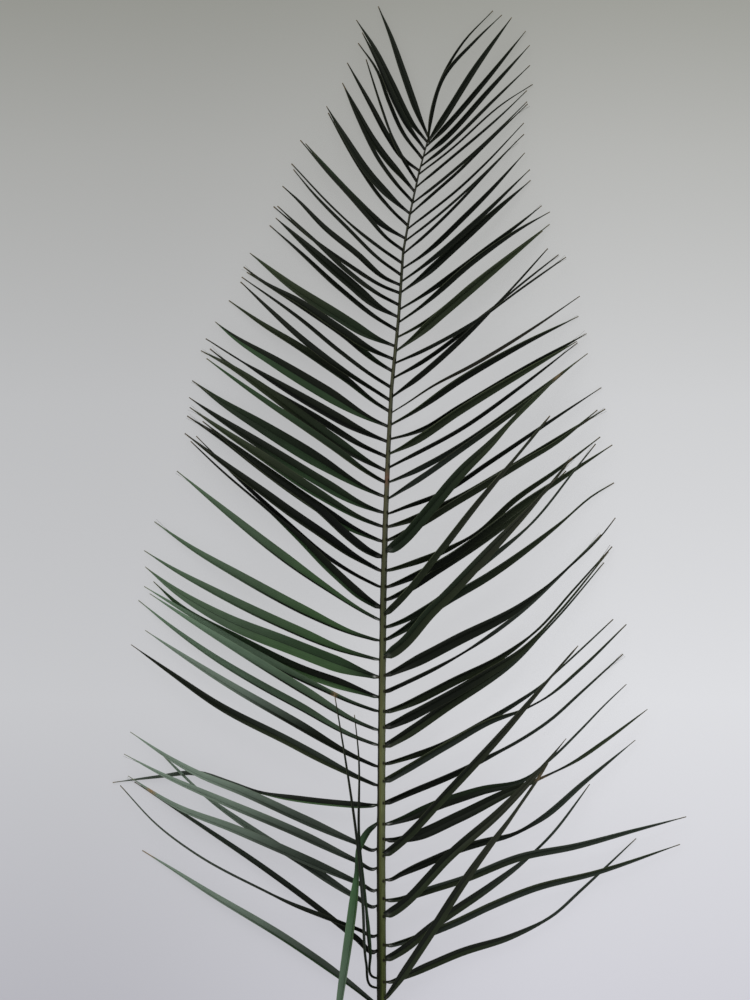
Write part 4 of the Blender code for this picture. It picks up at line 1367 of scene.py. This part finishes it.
    def closing(self, leaflet: Leaflet, width: float, run: float) -> float:
        """How much narrower the blade is in its neck, just outside the midrib.

        Args:
            leaflet: the leaflet.
            width: its width there if it had no neck.
            run: how far along it lies outside the midrib.

        Returns:
            The width that the neck takes away, at its far edge.
        """
        if leaflet.root <= self.necked_from:
            return 0.0
        neck = min(max(self.neck, leaflet.foot * self.neck_share), width)
        return (width - neck) * (1.0 - ease(run / self.neck_reach) ** self.neck_power)

    def foot_glint(self, leaflet: Leaflet, run: float) -> float:
        """How pale the leaflet's foot is at a distance outside the midrib: partly a pale callus, partly a
        painted glint.
        """
        shows = self.hooked(leaflet) or leaflet.pale_foot_and_glint > self.marked_foot
        foot = leaflet.pale_foot_and_glint if shows else self.plain_foot
        return foot * bell(run - self.glint_middle, self.glint_reach)

    def add_blade(self, shape: bmesh.types.BMesh, leaflet: Leaflet, layer: int) -> None:
        """Bend one grid into a leaflet's blade.

        Args:
            shape: the bmesh to add to.
            leaflet: the leaflet.
            layer: its layer, counted from the surface.
        """
        layers = shape.verts.layers
        broad_tint, steep_tint = layers.float_color["broad_tint"], layers.float_color["steep_tint"]
        marks = layers.float_vector["marks"]
        uv = shape.loops.layers.uv["blade"]
        measured = self.course(leaflet, [i / self.measured_parts for i in range(self.measured_parts + 1)])
        length = sum((b - a).length for a, b in zip(measured, measured[1:]))
        parts = max(round(length / self.part_length), self.least_parts)
        first, growth = self.spacing
        shares = [i / parts * (first + growth * i / parts) for i in range(parts + 1)]
        path = self.course(leaflet, shares)
        grid = bmesh.ops.create_grid(shape, x_segments=parts, y_segments=self.wing_parts, size=1.0)["verts"]
        stations = {}
        for vert in grid:
            stations.setdefault(round((vert.co.x + 1.0) / 2.0 * parts), []).append(vert)
        shade = self.tones.uniform(*self.shades)
        number = self.tones.random()
        sway = self.tones.uniform(-1.0, 1.0)
        for station, verts in stations.items():
            share = shares[station]
            point = path[station]
            ahead = path[min(station + 1, parts)] - path[max(station - 1, 0)]
            across = Vector((-ahead.y, ahead.x)).normalized() * -self.side.value
            width = self.seen_at(leaflet, share)
            run = share * length - self.midrib.width(leaflet.root) / 2.0
            closing = self.closing(leaflet, width, run)
            width -= closing
            half = width * self.opened_width(leaflet) / leaflet.seen / 2.0
            fold, turn = self.fold_and_turn(leaflet, share)
            wave = math.sin(math.tau * (share * self.sway_waves + number))
            turn += self.sway * sway * wave * ease(share / self.sway_from)
            broad, steep = self.tints(leaflet, share, shade)
            dry = self.dryness(point.x, point.y, share)
            foot = self.foot_glint(leaflet, run)
            keel = leaflet.keel * self.side.value
            places = {vert: self.section_point(half, fold, turn, keel, vert.co.y) for vert in verts}
            low_edge = min(out for out, _ in places.values())
            high_edge = max(out for out, _ in places.values())
            stretch = width / (high_edge - low_edge)
            lowest = min(up for _, up in places.values())
            height = max(self.height(leaflet, layer, share), self.thickness + self.clearance - lowest)
            for vert, (out, up) in places.items():
                side_share = 0.5 + 0.5 * vert.co.y * -self.side.value
                for loop in vert.link_loops:
                    loop[uv].uv = (share, side_share)
                seen = across * ((out - (low_edge + high_edge) / 2.0) * stretch + closing * 0.5)
                vert.co = in_row(point.x + seen.x, point.y + seen.y, height + up)
                vert[broad_tint] = broad
                vert[steep_tint] = steep
                vert[marks] = (dry, foot, number)

    def build(self) -> bpy.types.Object:
        """Build all of this side's blades as one piece.

        Returns:
            The row of leaflets.
        """
        shape = bmesh.new()
        shape.verts.layers.float_color.new("broad_tint")
        shape.verts.layers.float_color.new("steep_tint")
        shape.verts.layers.float_vector.new("marks")
        shape.loops.layers.uv.new("blade")
        for number, leaflet in enumerate(self.leaflets):
            self.add_blade(shape, leaflet, number % self.layers)
        bmesh.ops.recalc_face_normals(shape, faces=shape.faces[:])
        bmesh.ops.solidify(shape, geom=shape.faces[:], thickness=self.thickness * MM)
        bmesh.ops.recalc_face_normals(shape, faces=shape.faces[:])
        return finish_mesh(shape, self.name, [LeafFinish().make()])


@dataclass
class LeafletFeet(StalkPart):
    """The small hard swellings that join the leaflets to the midrib, their sizes in millimetres."""

    midrib: Midrib
    rows: tuple
    length: float = 2.6
    width: float = 0.95
    depth: float = 1.0
    least_size: float = 0.45
    growth: float = 0.55
    segments: int = 12
    rings: int = 8
    search_parts: int = 160

    def build(self) -> bpy.types.Object:
        """Set one swelling at each root.

        Returns:
            The feet, as one piece.
        """
        shape = bmesh.new()
        for row in self.rows:
            for number, leaflet in enumerate(row.leaflets):
                self.add_foot(shape, row, leaflet, number % row.layers)
        return finish_mesh(shape, "leaflet_feet", [FootFinish().make()])

    def add_foot(self, shape: bmesh.types.BMesh, row: LeafRow, leaflet: Leaflet, layer: int) -> None:
        """Set a swelling where a leaflet leaves the midrib.

        Args:
            shape: the bmesh to add to.
            row: the leaflet's row.
            leaflet: the leaflet.
            layer: its layer, counted from the surface.
        """
        parts = self.search_parts
        path = row.course(leaflet, [i / parts for i in range(parts + 1)])
        reach = self.midrib.width(leaflet.root) / 2.0
        station = 1
        while station < parts and abs(path[station].x - path[0].x) < reach:
            station += 1
        point, ahead = path[station], path[station + 1] - path[station - 1]
        grow = self.least_size + self.growth * self.midrib.fullness(leaflet.root)
        size = Matrix.Diagonal((self.length * grow, self.width * grow, self.depth * grow, 1.0)) * MM
        size[3][3] = 1.0
        heading = Matrix.Rotation(math.atan2(-ahead.y, ahead.x), 4, "Z")
        height = row.height(leaflet, layer, station / parts)
        place = Matrix.Translation(in_row(point.x, point.y, height))
        bmesh.ops.create_uvsphere(shape, u_segments=self.segments, v_segments=self.rings, radius=1.0,
                                  matrix=place @ heading @ size)


@dataclass
class Frays(LeafPart):
    """The hair-like split fibres beside some of the leaflets' tips, their sizes in millimetres.

    Only roots between the two heights of frayed are frayed, and no tip left of least_x, where the
    hairs would stand out of the frond's box.
    """

    rows: tuple
    seed: int = 5
    share_frayed: float = 0.45
    frayed: tuple = (200.0, 950.0)
    least_x: float = 115.0
    start: float = 0.86
    heading_run: float = 0.02
    spread: float = 3.6
    width: float = 0.32
    depth: float = 0.2
    taper: float = 0.6
    parts: int = 6

    def build(self) -> bpy.types.Object:
        """Split one to three hairs off the tips drawn by the seed.

        Returns:
            The hairs, as one piece.
        """
        shape = bmesh.new()
        shape.verts.layers.int.new("done")
        draws = random.Random(self.seed)
        highest, lowest = self.frayed
        for row in self.rows:
            for number, leaflet in enumerate(row.leaflets):
                frayed = draws.random() < self.share_frayed
                bends = [draws.uniform(-1.0, 1.0) for _ in range(draws.choice((1, 2, 3)))]
                if frayed and highest < leaflet.root < lowest and leaflet.course[-1][0] > self.least_x:
                    for bend in bends:
                        self.add_hair(shape, row, leaflet, number % row.layers, bend)
        return finish_mesh(shape, "split_fibres", [FibreFinish().make()])

    def add_hair(self, shape: bmesh.types.BMesh, row: LeafRow, leaflet: Leaflet, layer: int,
                 bend: float) -> None:
        """Bend a thin four-sided bar away from a leaflet's tip.

        Args:
            shape: the bmesh to add to.
            row: the leaflet's row.
            leaflet: the leaflet.
            layer: its layer, counted from the surface.
            bend: how far the hair stands off, from -1 to 1.
        """
        done = shape.verts.layers.int["done"]
        shares = [self.start + (1.0 - self.start) * i / self.parts for i in range(self.parts + 1)]
        path = row.course(leaflet, [self.start - self.heading_run] + shares)
        ahead = path[-1] - path[0]
        across = Vector((-ahead.y, ahead.x)).normalized() * math.copysign(1.0, bend)
        bar = bmesh.ops.create_cube(shape, size=1.0)["verts"]
        edges = [edge for vert in bar if vert.co.x > 0.0 for edge in vert.link_edges]
        long_edges = [edge for edge in edges if abs(edge.verts[0].co.x - edge.verts[1].co.x) > 0.5]
        bmesh.ops.subdivide_edges(shape, edges=long_edges, cuts=self.parts - 1, use_grid_fill=True)
        for vert in shape.verts:
            if vert[done]:
                continue
            way = vert.co.x + 0.5
            step = min(round(way * self.parts), self.parts)
            off = across * (way * way * self.spread * abs(bend))
            side = across * (vert.co.y * self.width * (1.0 - self.taper * way))
            point = path[step + 1] + off + side
            up = row.height(leaflet, layer, shares[step]) + vert.co.z * self.depth
            vert.co = in_row(point.x, point.y, max(up, self.depth))
            vert[done] = 1


@dataclass
class Studio:
    """The pale surface, the soft light and the camera that looks straight down.

    surface_half, the lamp's place and size and clip_end are in metres, the rest in millimetres.
    sky_edge is how high the light goes over from sky_low to sky_high, as a sine.
    """

    surface_half: float = 9.0
    lens: float = 150.0
    sensor: float = 36.0
    middle_height: float = 20.0
    sky_low: tuple = (0.90, 0.91, 0.94)
    sky_high: tuple = (0.30, 0.31, 0.33)
    sky_edge: tuple = (0.3, 0.9)
    sky_strength: float = 1.0
    key_power: float = 26.0
    key_size: float = 1.8
    key_place: tuple = (-0.9, 1.9, 1.7)
    clip_end: float = 50.0

    def build(self) -> None:
        """Lay the surface, light it and set the camera."""
        shape = bmesh.new()
        bmesh.ops.create_grid(shape, x_segments=2, y_segments=2, size=self.surface_half)
        surface = finish_mesh(shape, "surface", [SurfaceFinish().make()])
        self.light()
        self.camera()

    def light(self) -> None:
        """Light softly from all round, paler near the horizon, with one broad lamp beyond the top."""
        world = bpy.data.worlds.new("soft_room")
        bpy.context.scene.world = world
        world.use_nodes = True
        nodes, links = world.node_tree.nodes, world.node_tree.links
        split = nodes.new("ShaderNodeSeparateXYZ")
        links.new(nodes.new("ShaderNodeTexCoord").outputs["Generated"], split.inputs[0])
        ramp = nodes.new("ShaderNodeMapRange")
        ramp.interpolation_type = "SMOOTHSTEP"
        ramp.inputs["From Min"].default_value, ramp.inputs["From Max"].default_value = self.sky_edge
        links.new(split.outputs[2], ramp.inputs["Value"])
        mix = nodes.new("ShaderNodeMix")
        mix.data_type = "RGBA"
        links.new(ramp.outputs["Result"], mix.inputs[0])
        mix.inputs[6].default_value = (*self.sky_low, 1.0)
        mix.inputs[7].default_value = (*self.sky_high, 1.0)
        background = nodes["Background"]
        links.new(mix.outputs[2], background.inputs["Color"])
        background.inputs["Strength"].default_value = self.sky_strength

        lamp = bpy.data.lights.new("broad_lamp", "AREA")
        lamp.shape = "RECTANGLE"
        lamp.size = self.key_size
        lamp.size_y = self.key_size
        lamp.energy = self.key_power
        holder = bpy.data.objects.new("broad_lamp", lamp)
        holder.location = self.key_place
        holder.rotation_euler = (-holder.location).to_track_quat("-Z", "Y").to_euler()
        bpy.context.scene.collection.objects.link(holder)

    def camera(self) -> None:
        """Look straight down so that the view is as tall as the photograph's, at the leaflets' height."""
        data = bpy.data.cameras.new("camera")
        data.sensor_width = self.sensor
        data.lens = self.lens
        data.clip_end = self.clip_end
        camera = bpy.data.objects.new("camera", data)
        distance = VIEW_TALL * self.lens / self.sensor
        camera.location = in_row(VIEW_X, VIEW_Y, self.middle_height + distance)
        bpy.context.scene.collection.objects.link(camera)
        bpy.context.scene.camera = camera
        bpy.context.scene.view_settings.view_transform = "Standard"


def main() -> None:
    """Build the frond and its stage."""
    logging.basicConfig(level=logging.INFO, format="%(name)s: %(message)s")
    midrib = Midrib()
    left = LeafRow(Side.LEFT, LEFT, midrib, "left_leaflets", 11, opens=0.28, trim=0.3,
                   drops=((300.0, -1.0), (500.0, 0.9)), hooked_from=790.0, hook_slope=0.75, heel_reach=1.8,
                   rise=0.9, late_rise=2.2, dark_until=0.15, darkness=0.8)
    right = LeafRow(Side.RIGHT, RIGHT, midrib, "right_leaflets", 23)
    feet = LeafletFeet(midrib, (left, right))
    for maker in (midrib, left, right, feet, Frays((left, right))):
        piece = maker.build()
        maker.dress(piece)
        log.info("%s: %d faces", piece.name, len(piece.data.polygons))
    Studio().build()


if __name__ == "__main__":
    main()
